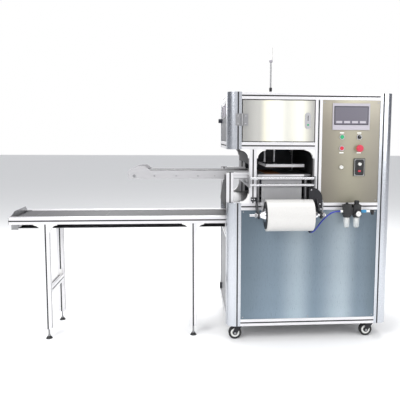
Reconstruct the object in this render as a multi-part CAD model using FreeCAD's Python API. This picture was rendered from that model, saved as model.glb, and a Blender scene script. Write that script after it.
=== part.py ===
"""Horizontal film wrapping machine in an aluminium-bar cabinet on casters, with a short upper belt that feeds it
and a long lower belt on legs that takes the packs away.  Millimetres; X to the right, Y to the back, Z up."""
import FreeCAD
import Part

import math
import os

V = FreeCAD.Vector

# ---- slotted bars ----------------------------------------------------------------------------------------------
BAR = 40.0               # side of the square slotted bar
SMALL_BAR = 30.0         # side of the bar over the stand
SLOT = 8.0               # mouth of a slot
LIP = 4.0                # thickness of the lip beside a slot
SLOT_DEPTH = 9.0         # full depth of a slot
UNDERCUT = 5.0           # how far the slot widens behind its lip
CORNER = 80.0            # arm of the rounded corner post
CORNER_ROUND = 50.0      # outer radius of the corner post
CORNER_WALL = 8.0        # wall of the hollow in the corner post
BAR_EDGE = 1.0           # bevel along a bar's edges

# ---- cabinet ---------------------------------------------------------------------------------------------------
WIDTH = 940.0
DEPTH = 660.0
HEIGHT = 1420.0
BASE = 95.0              # underside of the frame above the floor
DECK = 805.0             # top of the lower frame
HOOD_BASE = 1105.0       # underside of the hood
MID_POST_X = 511.0       # centre of the post between hood and control panel
HOOD_POST_X = 145.0      # centre of the post that carries the hood's free end
SHEET = 2.0              # sheet metal
PLATE = 3.0              # floor and deck plates
SEAT = 0.3               # play of a panel in its frame
PANEL_INSET = 3.0        # front face of a panel behind the frame's face
RAIL_BASE = 673.0        # underside of the lower conveyor's rails
SIDE_RAIL_TOP = 633.0    # top of the left rail under the lower belt's return run
GUSSET = 50.0            # leg of a cast corner bracket
GUSSET_TIP = 6.0
GUSSET_SIDE = 34.0       # its width

# ---- hood door and its hinge -----------------------------------------------------------------------------------
DOOR_GAP = 5.0           # gap round the hood door
DOOR_FOLD = 15.0         # depth of the folded edge
HINGE_RISE = 5.5         # middle of the hinge above the middle of the hood
HINGE_HEIGHT = 66.0
HINGE_LEAF = 30.0        # width of each leaf
HINGE_THICK = 3.0
KNUCKLE_R = 6.0
HINGE_PIN_R = 3.0
PIN_PLAY = 0.3           # radial play of a pin or rod in its hole
LOCK_WIDTH = 33.0
LOCK_HEIGHT = 90.0
LOCK_EDGE = 22.0         # lock's edge to the door's edge
LOCK_RISE = 1.5          # middle of the lock above the middle of the hood
LOCK_THICK = 4.0
SIDE_KNOB_R = 14.0
SIDE_KNOB_OUT = 22.0
SIDE_KNOB_EDGE = 20.0    # knob's centre before the rear post
SIDE_KNOB_RISE = 14.5
LATCH_WIDTH = 20.0
LATCH_HEIGHT = 40.0
LATCH_OUT = 12.0
LATCH_EDGE = 50.0        # latch to the rear post
LATCH_RISE = 30.0        # latch above the lower rail

# ---- control panel ---------------------------------------------------------------------------------------------
SCREEN_EDGE = 246.0      # centre of the touch screen from the right side
SCREEN_DROP = 131.0      # and below the top
SCREEN_WIDTH = 212.0
SCREEN_HEIGHT = 147.0
SCREEN_OUT = 6.0
DISPLAY_WIDTH = 200.0
DISPLAY_HEIGHT = 108.0
DISPLAY_RISE = 6.0       # display centre above the bezel's centre
COLUMN_LEFT = 50.0       # button column left of the screen's centre
COLUMN_RIGHT = 49.0      # switch column right of it
ROW_DROP = 113.0         # first row under the screen's centre
ROW_STEP = 63.0          # second row under the first
KNOB_DROP = 106.0        # timer knob under the second row
BUTTON_R = 10.6
BEZEL_R = 15.0
BEZEL_OUT = 6.0
BUTTON_OUT = 9.0
BUTTON_STEM = 8.0        # length behind the panel's face
BUTTON_PLAY = 0.5
MUSHROOM_R = 20.0
MUSHROOM_OUT = 33.0
MUSHROOM_THICK = 17.0
LEVER_OUT = 16.0         # selector's lever
LEVER_WIDE = 7.0
KNOB_R = 10.0
KNOB_OUT = 17.0
KNOB_STEM_R = 3.0
KNOB_LIFT = 0.5          # knob's back off the face it turns over
SPEED_SHIFT = 53.0       # speed controller right of the screen's centre
SPEED_WIDTH = 64.0
SPEED_HEIGHT = 99.0
SPEED_OUT = 8.0
SPEED_KNOB_R = 9.0
SPEED_KNOB_RISE = 18.0   # knob above the middle of its box
SPEED_KNOB_OUT = 14.0

# ---- film roll -------------------------------------------------------------------------------------------------
ROLL_Y = -105.0
ROLL_Z = 752.0
ROLL_R = 86.0
ROLL_LEFT = 203.0
ROLL_LENGTH = 254.0
CORE_R = 38.0
SHAFT_R = 7.0
SHAFT_LEFT = 115.0
SHAFT_RIGHT = 533.0
CONE_LENGTH = 26.0
CONE_SMALL_R = 15.0
CONE_R = 27.0
FLANGE_R = 74.0
FLANGE_THICK = 4.0
ARM_THICK = 8.0
LEFT_ARM_X = 160.0       # left face of the left arm
RIGHT_ARM_X = 502.0      # left face of the right arm
ARM_NOSE = 20.0          # radius of the arm's nose round the shaft
ARM_ROOT_Z = 838.0       # top of the left arm at the frame
LEFT_FOOT = 22.0         # height of the left arm's foot
HORN_TOP = 893.0         # top of the right arm's curved foot
HORN_RIGHT = 538.0
HORN_LEFT = 462.0
HORN_BOTTOM = 775.0
HORN_R = 62.0

# ---- guide rollers and film ------------------------------------------------------------------------------------
GUIDE_Y = -30.0
GUIDE_UPPER_Z = 946.0
GUIDE_LOWER_Z = 909.0
GUIDE_R = 7.5
JOURNAL_R = 4.0
GUIDE_PLATE = 8.0        # thickness of the end plates
GUIDE_PLATE_TOP = 958.0
GUIDE_PLATE_BOTTOM = 896.0
GUIDE_PLATE_FRONT = -43.0
GUIDE_PLATE_BACK = 30.0
GUIDE_PLAY = 1.0         # end play of a roller
FILM_LEFT = 190.0
FILM_RIGHT = 415.0
FILM_THICK = 0.8
FILM_LIFT = 0.4          # film off a roller's surface

# ---- sealing station -------------------------------------------------------------------------------------------
TABLE_TOP = 962.0
TABLE_THICK = 12.0
TABLE_LEFT = 172.0
TABLE_FRONT = 60.0
TABLE_REACH = 177.0      # table behind the belts' centre line
TABLE_SIDE = 7.0         # table's right edge to the mid post
TABLE_LEG_R = 10.0
TABLE_LEG_INSET = 22.0
HEAD_BASE = 1000.0
HEAD_BAR_HEIGHT = 16.0
HEAD_LEFT = 235.0
HEAD_BAR = 76.0
HEAD_FRONT = 130.0
HEAD_REACH = 167.0
HEAD_RIGHT = 462.0
HEAD_TRAVEL = 33.0
ROD_R = 6.0
ROD_RISE = 85.0          # rods above the hood's underside
ROD_FRONT = 43.0         # rods before the belts' centre line
ROD_X = 58.0             # distance between the two rods
CYLINDER_R = 20.0
CYLINDER_RISE = 60.0     # cylinder's foot above the hood's underside
CYLINDER_LENGTH = 135.0
BRIDGE_THICK = 12.0      # bridge that carries the cylinder
DROP_LEFT = 182.0
DROP_RIGHT = 300.0       # opening in the deck over the lower belt
WALL_BASE = 1020.0       # lower edge of the work zone's left wall

# ---- air unit --------------------------------------------------------------------------------------------------
AIR_Y = -55.0            # centre line of the air unit before the frame
AIR_Z = 764.0            # its ports
FILTER_X = 666.0
REGULATOR_X = 721.0
AIR_BLOCK = 42.0
AIR_TOP = 806.0
AIR_BOTTOM = 734.0
BOWL_R = 18.0
BOWL_BASE = 670.0
GAUGE_R = 18.0
GAUGE_OUT = 14.0
GAUGE_Z = 754.0
REG_KNOB_R = 14.0
REG_KNOB_HEIGHT = 20.0
DOME_R = 8.0
DOME_HEIGHT = 10.0
PORT_R = 7.0
PORT_LENGTH = 16.0
VALVE_R = 9.0
VALVE_LENGTH = 34.0
UNION_LENGTH = 20.0
ELBOW_LENGTH = 24.0
ELBOW_DROP = 20.0
ELBOW_BORE_R = 4.0
ELBOW_R = 8.5
HOSE_R = 4.0
GLAND_R = 8.0
GLAND_OUT = 8.0
HOSE_POINTS = [(590, -55, 764), (554, -62, 741), (522, -66, 712), (499, -66, 680), (483, -58, 656), (473, -34, 641)]
GLAND_X = 473.0
GLAND_Z = 641.0

# ---- lamp mast -------------------------------------------------------------------------------------------------
MAST_X = 288.0
MAST_R = 5.0
MAST_SOCKET_R = 9.0
MAST_SOCKET = 54.0       # height of the socket over the top
MAST_LENGTH = 156.0      # slim part between socket and lamp
LAMP_R = 12.0
LAMP_LENGTH = 88.0

# ---- conveyors -------------------------------------------------------------------------------------------------
BELT_SHIFT = 37.0        # centre line of both belts before the middle of the cabinet
BELT = 2.5               # belt thickness
LOWER_LEFT = -1224.0     # left end of the lower rails
LOWER_RIGHT = 330.0
LOWER_WIDTH = 348.0      # over the lower rails
LOWER_ROLLER_R = 29.2
LOWER_BELT_TOP = 709.0
BELT_CLEAR = 6.0         # belt's edge to the rail
ROLLER_GAP = 0.3         # roller under its belt
END_PLATE = 38.0
END_PLATE_THICK = 5.0
END_PLATE_BASE = 637.0
STOP_TOP = 736.0
STOP_THICK = 3.0
BED_THICK = 3.0
LEG_LEFT_X = -1025.0
LEG_RIGHT_X = -188.0
LEG_BASE = 60.0
BRACE_Z = 285.0          # centre of the brace between two legs
LEG_GUSSET = 44.0
FOOT_R = 19.0
FOOT_STUD_R = 5.0
FOOT_PAD = 14.0
UPPER_LEFT = -565.0
UPPER_RIGHT = 165.0
UPPER_WIDTH = 200.0
UPPER_BASE = 927.0
UPPER_TOP = 975.0
UPPER_PLATE = 4.0
UPPER_BELT_TOP = 976.0
UPPER_ROLLER_R = 20.2
HUMP_TOP = 1001.0
STAND_TOP = 974.0
GUARD_THICK = 3.0
GUARD_TOP = 955.0
GUARD_MIDDLE = 912.0
GUARD_LOW = 780.0
GUARD_CLEAR = 3.0        # guard's edge to the upper conveyor

# ---- casters ---------------------------------------------------------------------------------------------------
CASTER_X = 80.0          # swivel axis from the cabinet's side
CASTER_Y = 66.0
WHEEL_R = 37.5
WHEEL_WIDE = 28.0
TRAIL = 26.0
AXLE_R = 5.0
FORK_R = 26.0
FORK_THICK = 4.0
FORK_SIDE = 3.0          # wheel's face to the fork
FORK_TOP = 91.7
FORK_CROWN = 8.0
CASTER_PLATE = 64.0
CASTER_PLATE_THICK = 3.0

# ---- worked out from the sizes above ---------------------------------------------------------------------------
HALF = BAR / 2
HOOD_MIDDLE = (HOOD_BASE + HEIGHT) / 2
HINGE_Z, LOCK_Z, SIDE_KNOB_Z = HOOD_MIDDLE + HINGE_RISE, HOOD_MIDDLE + LOCK_RISE, HOOD_MIDDLE + SIDE_KNOB_RISE
SIDE_KNOB_Y = DEPTH - CORNER - SIDE_KNOB_EDGE
SCREEN_X, SCREEN_Z = WIDTH - SCREEN_EDGE, HEIGHT - SCREEN_DROP
BUTTON_COLUMN, SWITCH_COLUMN = SCREEN_X - COLUMN_LEFT, SCREEN_X + COLUMN_RIGHT
BUTTON_ROW = SCREEN_Z - ROW_DROP
STOP_ROW = BUTTON_ROW - ROW_STEP
KNOB_ROW = STOP_ROW - KNOB_DROP
SPEED_X, SPEED_Z = SCREEN_X + SPEED_SHIFT, KNOB_ROW
SPEED_KNOB_Z = SPEED_Z + SPEED_KNOB_RISE
BELT_Y = DEPTH / 2 - BELT_SHIFT
MAST_Y = DEPTH / 2
TABLE_BACK, HEAD_BACK, ROD_NEAR = BELT_Y + TABLE_REACH, BELT_Y + HEAD_REACH, BELT_Y - ROD_FRONT
ROD_TOP, CYLINDER_BASE = HOOD_BASE + ROD_RISE, HOOD_BASE + CYLINDER_RISE
CYLINDER_TOP = CYLINDER_BASE + CYLINDER_LENGTH
MAST_SOCKET_TOP = HEIGHT + MAST_SOCKET
MAST_TOP = MAST_SOCKET_TOP + MAST_LENGTH
LAMP_TOP = MAST_TOP + LAMP_LENGTH
RAIL_LEFT, RAIL_RIGHT = CORNER, WIDTH - CORNER
RAIL_FRONT, RAIL_BACK = CORNER, DEPTH - CORNER
MID_LEFT, MID_RIGHT = MID_POST_X - HALF, MID_POST_X + HALF
HOOD_POST_LEFT, HOOD_POST_RIGHT = HOOD_POST_X - HALF, HOOD_POST_X + HALF
PANEL_BACK = PANEL_INSET + SHEET
DOOR_X0, DOOR_X1 = RAIL_LEFT + DOOR_GAP, MID_LEFT - DOOR_GAP
DOOR_Z0, DOOR_Z1 = HOOD_BASE + BAR + DOOR_GAP, HEIGHT - BAR - DOOR_GAP
HINGE_X, HINGE_Y = RAIL_LEFT, -(KNUCKLE_R + 1.0)
ROLL_RIGHT = ROLL_LEFT + ROLL_LENGTH
LOWER_FRONT, LOWER_BACK = BELT_Y - LOWER_WIDTH / 2, BELT_Y + LOWER_WIDTH / 2
UPPER_FRONT, UPPER_BACK = BELT_Y - UPPER_WIDTH / 2, BELT_Y + UPPER_WIDTH / 2
LOWER_AXIS_Z = LOWER_BELT_TOP - BELT - ROLLER_GAP - LOWER_ROLLER_R
UPPER_AXIS_Z = UPPER_BELT_TOP - BELT - ROLLER_GAP - UPPER_ROLLER_R
LOWER_AXIS_LEFT = LOWER_LEFT + LOWER_ROLLER_R + ROLLER_GAP + BELT + SEAT
LOWER_AXIS_RIGHT = LOWER_RIGHT - END_PLATE / 2
UPPER_AXIS_LEFT = UPPER_LEFT + UPPER_ROLLER_R + 11.0
UPPER_AXIS_RIGHT = UPPER_RIGHT - UPPER_ROLLER_R - 5.0
CASTERS = {"fl": (CASTER_X, CASTER_Y, -1), "fr": (WIDTH - CASTER_X, CASTER_Y, -1),
           "rl": (CASTER_X, DEPTH - CASTER_Y, -1), "rr": (WIDTH - CASTER_X, DEPTH - CASTER_Y, -1)}
ORIGIN = V((LOWER_LEFT - STOP_THICK + WIDTH) / 2, (ROLL_Y - ROLL_R + DEPTH) / 2, 0)


# ---- shapes ----------------------------------------------------------------------------------------------------
def block(x0, x1, y0, y1, z0, z1):
    """Box between two corners."""
    return Part.makeBox(x1 - x0, y1 - y0, z1 - z0, V(x0, y0, z0))


def rod(x, y, z, axis, radius, length):
    """Cylinder that starts at a point and runs along one axis."""
    ways = {"x": V(1, 0, 0), "y": V(0, 1, 0), "z": V(0, 0, 1), "-z": V(0, 0, -1)}
    return Part.makeCylinder(radius, length, V(x, y, z), ways[axis])


def prism(points, way):
    """Closed outline of points, and of (middle, end) pairs for arcs, pushed along a vector."""
    edges, last = [], points[0]
    for item in points[1:] + [points[0]]:
        if isinstance(item, tuple):
            edges.append(Part.Arc(last, item[0], item[1]).toShape())
            last = item[1]
        else:
            if (item - last).Length > 1e-6:
                edges.append(Part.LineSegment(last, item).toShape())
            last = item
    return Part.Face(Part.Wire(edges)).extrude(way)


def slot_points(side):
    """One side of a bar's section, from its left edge to its right, with the slot in the middle."""
    half, mouth, wide = side / 2, SLOT / 2, SLOT / 2 + UNDERCUT
    return [(-half + BAR_EDGE, half), (-mouth, half), (-mouth, half - LIP), (-wide, half - LIP),
            (-mouth - 1, half - SLOT_DEPTH), (mouth + 1, half - SLOT_DEPTH), (wide, half - LIP),
            (mouth, half - LIP), (mouth, half), (half - BAR_EDGE, half)]


def bar(axis, a, b, start, end, side=BAR):
    """Slotted bar along an axis; a and b are its centre on the other two axes, in X, Y, Z order."""
    outline = []
    for turn in range(4):
        cos, sin = round(math.cos(math.pi / 2 * turn)), round(math.sin(math.pi / 2 * turn))
        outline += [V(x * cos + y * sin, y * cos - x * sin, 0) for x, y in slot_points(side)]
    shape = prism(outline, V(0, 0, end - start))
    turns = {"z": FreeCAD.Rotation(), "x": FreeCAD.Rotation(V(0, 1, 0), 90), "y": FreeCAD.Rotation(V(1, 0, 0), -90)}
    places = {"z": V(a, b, start), "x": V(start, a, b), "y": V(a, start, b)}
    shape.Placement = FreeCAD.Placement(places[axis], turns[axis])
    return shape


def corner_post(x, y, sx, sy, bottom, top):
    """Hollow post with a rounded outer corner at (x, y); its arms run along sx and sy."""
    def at(px, py):
        return V(x + sx * px, y + sy * py, bottom)
    centre, mouth, wide = CORNER - HALF, SLOT / 2, SLOT / 2 + UNDERCUT
    slot = [(centre + mouth, 0), (centre + mouth, LIP), (centre + wide, LIP), (centre + mouth + 1, SLOT_DEPTH),
            (centre - mouth - 1, SLOT_DEPTH), (centre - wide, LIP), (centre - mouth, LIP), (centre - mouth, 0)]
    r, bow = CORNER_ROUND, CORNER_ROUND * (1 - math.sqrt(0.5))
    outline = [at(BAR, BAR), at(CORNER, BAR), at(CORNER, 0)] + [at(*p) for p in slot] + [at(r, 0)]
    outline += [(at(bow, bow), at(0, r))] + [at(q, p) for p, q in reversed(slot)] + [at(0, CORNER), at(BAR, CORNER)]
    post = prism(outline, V(0, 0, top - bottom))
    inner, reach = r - CORNER_WALL, BAR - LIP
    edge = r - math.sqrt(inner ** 2 - (r - reach) ** 2)
    middle = r - inner * math.sqrt(0.5)
    hollow = [at(reach, reach), at(reach, edge), (at(middle, middle), at(edge, reach))]
    return post.cut(prism(hollow, V(0, 0, top - bottom)))


def gusset(x, y, z, sx, sz, leg=GUSSET):
    """Cast corner bracket with a hollow-ground face: corner at (x, z), width along +Y from y."""
    bow = GUSSET_TIP + (leg - GUSSET_TIP) * (1 - math.sqrt(0.5))
    points = [V(x, y, z), V(x + sx * leg, y, z), V(x + sx * leg, y, z + sz * GUSSET_TIP),
              (V(x + sx * bow, y, z + sz * bow), V(x + sx * GUSSET_TIP, y, z + sz * leg)), V(x, y, z + sz * leg)]
    return prism(points, V(0, GUSSET_SIDE, 0))


def stadium(x0, x1, z, r):
    """Outline of a belt's run round two rollers, for prism."""
    return [V(x0, 0, z + r), V(x1, 0, z + r), (V(x1 + r, 0, z), V(x1, 0, z - r)), V(x0, 0, z - r),
            (V(x0 - r, 0, z), V(x0, 0, z + r))]


def belt_loop(x0, x1, z, roller_r, front, back):
    """Belt round two rollers."""
    inner = roller_r + ROLLER_GAP
    loop = prism(stadium(x0, x1, z, inner + BELT), V(0, back - front, 0))
    loop = loop.cut(prism(stadium(x0, x1, z, inner), V(0, back - front, 0)))
    loop.translate(V(0, front, 0))
    return loop


# ---- frame -----------------------------------------------------------------------------------------------------
def corner_posts():
    """Two full posts on the right; on the left a lower pair and the hood's pair."""
    posts = []
    for y, sy in ((0, 1), (DEPTH, -1)):
        posts += [corner_post(WIDTH, y, -1, sy, BASE, HEIGHT), corner_post(0, y, 1, sy, BASE, DECK),
                  corner_post(0, y, 1, sy, HOOD_BASE, HEIGHT)]
    return posts


def inner_posts():
    """Posts between the deck and the hood, and between hood and control panel."""
    posts = []
    for y in (HALF, DEPTH - HALF):
        posts += [bar("z", HOOD_POST_X, y, DECK, HOOD_BASE), bar("z", MID_POST_X, y, DECK, HEIGHT - BAR)]
    return posts


def long_rails(y):
    """The four rails across the cabinet at depth y."""
    return [bar("x", y, BASE + HALF, RAIL_LEFT, RAIL_RIGHT), bar("x", y, DECK - HALF, RAIL_LEFT, RAIL_RIGHT),
            bar("x", y, HOOD_BASE + HALF, RAIL_LEFT, MID_LEFT), bar("x", y, HEIGHT - HALF, RAIL_LEFT, RAIL_RIGHT)]


def side_rails():
    """Rails from front to back on both sides, and the stubs that carry the lower conveyor."""
    left = [BASE + HALF, SIDE_RAIL_TOP - HALF, DECK - HALF, HOOD_BASE + HALF, HEIGHT - HALF]
    right = [BASE + HALF, DECK - HALF, HEIGHT - HALF]
    stubs = [bar("z", HALF, y, SIDE_RAIL_TOP, RAIL_BASE) for y in (LOWER_FRONT + HALF, LOWER_BACK - HALF)]
    return ([bar("y", HALF, z, RAIL_FRONT, RAIL_BACK) for z in left] +
            [bar("y", WIDTH - HALF, z, RAIL_FRONT, RAIL_BACK) for z in right] + stubs)


def frame_brackets():
    """Corner brackets of the window, of the legs and of their braces, and the guide rollers' end plates."""
    parts, side = [], (BAR - GUSSET_SIDE) / 2
    for y in (side, DEPTH - BAR):
        parts += [gusset(HOOD_POST_LEFT, y, HOOD_BASE, -1, -1), gusset(HOOD_POST_RIGHT, y, HOOD_BASE, 1, -1),
                  gusset(MID_LEFT, y, HOOD_BASE, -1, -1), gusset(HOOD_POST_LEFT, y, DECK, -1, 1)]
    for x in (LEG_LEFT_X, LEG_RIGHT_X):
        for y in (LOWER_FRONT + side, LOWER_BACK - BAR + side):
            parts += [gusset(x - HALF, y, RAIL_BASE, -1, -1, LEG_GUSSET),
                      gusset(x + HALF, y, RAIL_BASE, 1, -1, LEG_GUSSET)]
    return parts


def guide_plates():
    """End plates of the guide rollers on the sides of the two window posts."""
    plates = []
    for x in (HOOD_POST_LEFT - GUIDE_PLATE, MID_LEFT - GUIDE_PLATE):
        plate = block(x, x + GUIDE_PLATE, GUIDE_PLATE_FRONT, GUIDE_PLATE_BACK, GUIDE_PLATE_BOTTOM, GUIDE_PLATE_TOP)
        for z in (GUIDE_UPPER_Z, GUIDE_LOWER_Z):
            plate = plate.cut(rod(x - 1, GUIDE_Y, z, "x", JOURNAL_R + PIN_PLAY, GUIDE_PLATE + 2))
        plates.append(plate)
    return plates


# ---- panels ----------------------------------------------------------------------------------------------------
def front_sheet(x0, x1, z0, z1, face=PANEL_INSET):
    """Sheet that fills an opening of the front, with play all round."""
    return block(x0 + SEAT, x1 - SEAT, face, face + SHEET, z0 + SEAT, z1 - SEAT)


def lower_front_panel():
    """Big stainless panel of the lower front."""
    return [front_sheet(RAIL_LEFT, RAIL_RIGHT, BASE + BAR, DECK - BAR)]


def control_panel():
    """Plate of the controls with the round holes for buttons and knobs."""
    plate = front_sheet(MID_RIGHT, RAIL_RIGHT, DECK, HEIGHT - BAR)
    holes = [(BUTTON_COLUMN, BUTTON_ROW, BUTTON_R), (BUTTON_COLUMN, STOP_ROW, BUTTON_R),
             (SWITCH_COLUMN, BUTTON_ROW, BUTTON_R), (SWITCH_COLUMN, STOP_ROW, BUTTON_R),
             (BUTTON_COLUMN, KNOB_ROW, KNOB_STEM_R)]
    for x, z, r in holes:
        plate = plate.cut(rod(x, PANEL_INSET - 1, z, "y", r + BUTTON_PLAY, SHEET + 2))
    return [plate]


def left_panel():
    """Sheet of the left side under the lower belt, with its latch."""
    sheet = block(PANEL_INSET, PANEL_INSET + SHEET, RAIL_FRONT + SEAT, RAIL_BACK - SEAT,
                  BASE + BAR + SEAT, SIDE_RAIL_TOP - BAR - SEAT)
    back, low = RAIL_BACK - LATCH_EDGE, BASE + BAR + LATCH_RISE
    latch = block(PANEL_INSET - LATCH_OUT, PANEL_INSET, back - LATCH_WIDTH, back, low, low + LATCH_HEIGHT)
    return [sheet.fuse(latch)]


def right_panels():
    """Lower and upper sheets of the right side."""
    x = WIDTH - PANEL_INSET
    return [block(x - SHEET, x, RAIL_FRONT + SEAT, RAIL_BACK - SEAT, z0 + SEAT, z1 - SEAT)
            for z0, z1 in ((BASE + BAR, DECK - BAR), (DECK, HEIGHT - BAR))]


def rear_panels():
    """Sheets that close the back, behind the hood, the work zone, the controls and the lower cabinet."""
    y = DEPTH - PANEL_INSET - SHEET
    return [front_sheet(RAIL_LEFT, RAIL_RIGHT, BASE + BAR, DECK - BAR, y),
            front_sheet(MID_RIGHT, RAIL_RIGHT, DECK, HEIGHT - BAR, y),
            front_sheet(HOOD_POST_RIGHT, MID_LEFT, DECK, HOOD_BASE, y),
            front_sheet(RAIL_LEFT, MID_LEFT, HOOD_BASE + BAR, HEIGHT - BAR, y)]


def top_panel():
    """Sheet between the top rails."""
    return [block(BAR + SEAT, WIDTH - BAR - SEAT, BAR + SEAT, DEPTH - BAR - SEAT,
                  HEIGHT - PANEL_INSET - SHEET, HEIGHT - PANEL_INSET)]


def floor_plates():
    """Floor of the cabinet, and the deck with the opening through which packs drop to the lower belt."""
    inside = (BAR + SEAT, WIDTH - BAR - SEAT, BAR + SEAT, DEPTH - BAR - SEAT)
    deck = block(*inside, DECK - PLATE, DECK)
    drop = block(DROP_LEFT, DROP_RIGHT, LOWER_FRONT + BAR, LOWER_BACK - BAR, DECK - PLATE - 1, DECK + 1)
    return [block(*inside, BASE, BASE + PLATE), deck.cut(drop)]


def work_zone_walls():
    """Dark lining: partition, ceiling with the rods' holes, left wall, and the guard beside the stand."""
    partition = block(MID_LEFT, MID_LEFT + SHEET, BAR + SEAT, DEPTH - BAR - SEAT, DECK, HEIGHT - BAR)
    ceiling = block(BAR + SEAT, MID_LEFT - SEAT, BAR + SEAT, DEPTH - BAR - SEAT, HOOD_BASE, HOOD_BASE + PLATE)
    for x in (head_rod_x(0), head_rod_x(1)):
        ceiling = ceiling.cut(rod(x, ROD_NEAR, HOOD_BASE - 1, "z", ROD_R + PIN_PLAY, PLATE + 2))
    wall = block(HOOD_POST_LEFT, HOOD_POST_LEFT + SHEET, BAR, DEPTH - BAR, WALL_BASE, HOOD_BASE)
    x, edge, clear = -GUARD_THICK, UPPER_FRONT - GUARD_CLEAR, UPPER_BASE - GUARD_CLEAR
    outline = [V(x, RAIL_FRONT, DECK - BAR), V(x, RAIL_BACK, DECK - BAR), V(x, RAIL_BACK, GUARD_LOW),
               V(x, BELT_Y, GUARD_MIDDLE), V(x, edge, clear), V(x, edge - 20, GUARD_TOP), V(x, RAIL_FRONT, GUARD_TOP)]
    return [partition, ceiling, wall, prism(outline, V(GUARD_THICK, 0, 0))]


def hood_side_panel():
    """Dark panel of the hood's left side with its round knob."""
    sheet = block(PANEL_INSET, PANEL_INSET + SHEET, RAIL_FRONT + SEAT, RAIL_BACK - SEAT,
                  HOOD_BASE + BAR + SEAT, HEIGHT - BAR - SEAT)
    knob = rod(PANEL_INSET - SIDE_KNOB_OUT, SIDE_KNOB_Y, SIDE_KNOB_Z, "x", SIDE_KNOB_R, SIDE_KNOB_OUT)
    return [sheet.fuse(knob)]


# ---- hood door -------------------------------------------------------------------------------------------------
def hood_door():
    """Door folded from sheet: a shallow pan with its hollow to the back."""
    front = 1.0
    pan = block(DOOR_X0, DOOR_X1, front, front + DOOR_FOLD, DOOR_Z0, DOOR_Z1)
    hollow = block(DOOR_X0 + SHEET, DOOR_X1 - SHEET, front + SHEET, front + DOOR_FOLD + 1, DOOR_Z0 + SHEET,
                   DOOR_Z1 - SHEET)
    return [pan.cut(hollow)]


def hinge_fixed():
    """Leaf on the post with the outer knuckles and the pin."""
    z0, third = HINGE_Z - HINGE_HEIGHT / 2, HINGE_HEIGHT / 3
    inner = HINGE_X - KNUCKLE_R - 2
    leaf = block(inner - HINGE_LEAF + 4, inner, -HINGE_THICK, 0, z0, z0 + HINGE_HEIGHT)
    for z in (z0, z0 + 2 * third):
        web = block(inner, HINGE_X, -HINGE_THICK - 1, -1, z, z + third)
        leaf = leaf.fuse(web).fuse(rod(HINGE_X, HINGE_Y, z, "z", KNUCKLE_R, third))
    return [leaf.fuse(rod(HINGE_X, HINGE_Y, z0, "z", HINGE_PIN_R, HINGE_HEIGHT))]


def hinge_leaf():
    """Leaf on the door with the middle knuckle."""
    z0, third, play = HINGE_Z - HINGE_HEIGHT / 2, HINGE_HEIGHT / 3, 0.5
    inner = HINGE_X + KNUCKLE_R + 2
    leaf = block(inner, inner + HINGE_LEAF - 4, 1 - HINGE_THICK, 1, z0, z0 + HINGE_HEIGHT)
    web = block(HINGE_X, inner, 1 - HINGE_THICK - 1, -0.5, z0 + third + play, z0 + 2 * third - play)
    knuckle = rod(HINGE_X, HINGE_Y, z0 + third + play, "z", KNUCKLE_R, third - 2 * play)
    bore = rod(HINGE_X, HINGE_Y, z0, "z", HINGE_PIN_R + PIN_PLAY, HINGE_HEIGHT)
    return [leaf.fuse(web).fuse(knuckle).cut(bore)]


def door_lock():
    """Upright oval lock plate with a raised lever and a round push button."""
    x, half, r = DOOR_X1 - LOCK_EDGE - LOCK_WIDTH / 2, LOCK_HEIGHT / 2 - LOCK_WIDTH / 2, LOCK_WIDTH / 2

    def oval(radius, reach, y0, y1):
        points = [V(x + radius, y0, LOCK_Z - reach), V(x + radius, y0, LOCK_Z + reach),
                  (V(x, y0, LOCK_Z + reach + radius), V(x - radius, y0, LOCK_Z + reach)),
                  V(x - radius, y0, LOCK_Z - reach),
                  (V(x, y0, LOCK_Z - reach - radius), V(x + radius, y0, LOCK_Z - reach))]
        return prism(points, V(0, y1 - y0, 0))
    plate = oval(r, half, 1 - LOCK_THICK, 1)
    lever = oval(r - 6, half - 2, 1 - LOCK_THICK - 4, 1 - LOCK_THICK)
    button = rod(x, 1 - LOCK_THICK - 7, LOCK_Z - half + 6, "y", 6, 7)
    return [plate.fuse(lever).fuse(button)]


# ---- controls --------------------------------------------------------------------------------------------------
def touch_screen():
    """Bezel with its display set in."""
    x, z = SCREEN_WIDTH / 2, SCREEN_HEIGHT / 2
    bezel = block(SCREEN_X - x, SCREEN_X + x, PANEL_INSET - SCREEN_OUT, PANEL_INSET, SCREEN_Z - z, SCREEN_Z + z)
    dx, dz, middle = DISPLAY_WIDTH / 2, DISPLAY_HEIGHT / 2, SCREEN_Z + DISPLAY_RISE
    return [bezel.cut(block(SCREEN_X - dx, SCREEN_X + dx, PANEL_INSET - SCREEN_OUT - 1, PANEL_INSET - SCREEN_OUT + 1.5,
                            middle - dz, middle + dz))]


def button_bezels():
    """Rings round the four round controls."""
    rings = []
    for x in (BUTTON_COLUMN, SWITCH_COLUMN):
        for z in (BUTTON_ROW, STOP_ROW):
            ring = rod(x, PANEL_INSET - BEZEL_OUT, z, "y", BEZEL_R, BEZEL_OUT)
            rings.append(ring.cut(rod(x, PANEL_INSET - BEZEL_OUT - 1, z, "y", BUTTON_R + BUTTON_PLAY, BEZEL_OUT + 2)))
    return rings


def push_button(z):
    """Round push button in the left column."""
    return [rod(BUTTON_COLUMN, PANEL_INSET - BUTTON_OUT, z, "y", BUTTON_R, BUTTON_OUT + BUTTON_STEM)]


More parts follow.
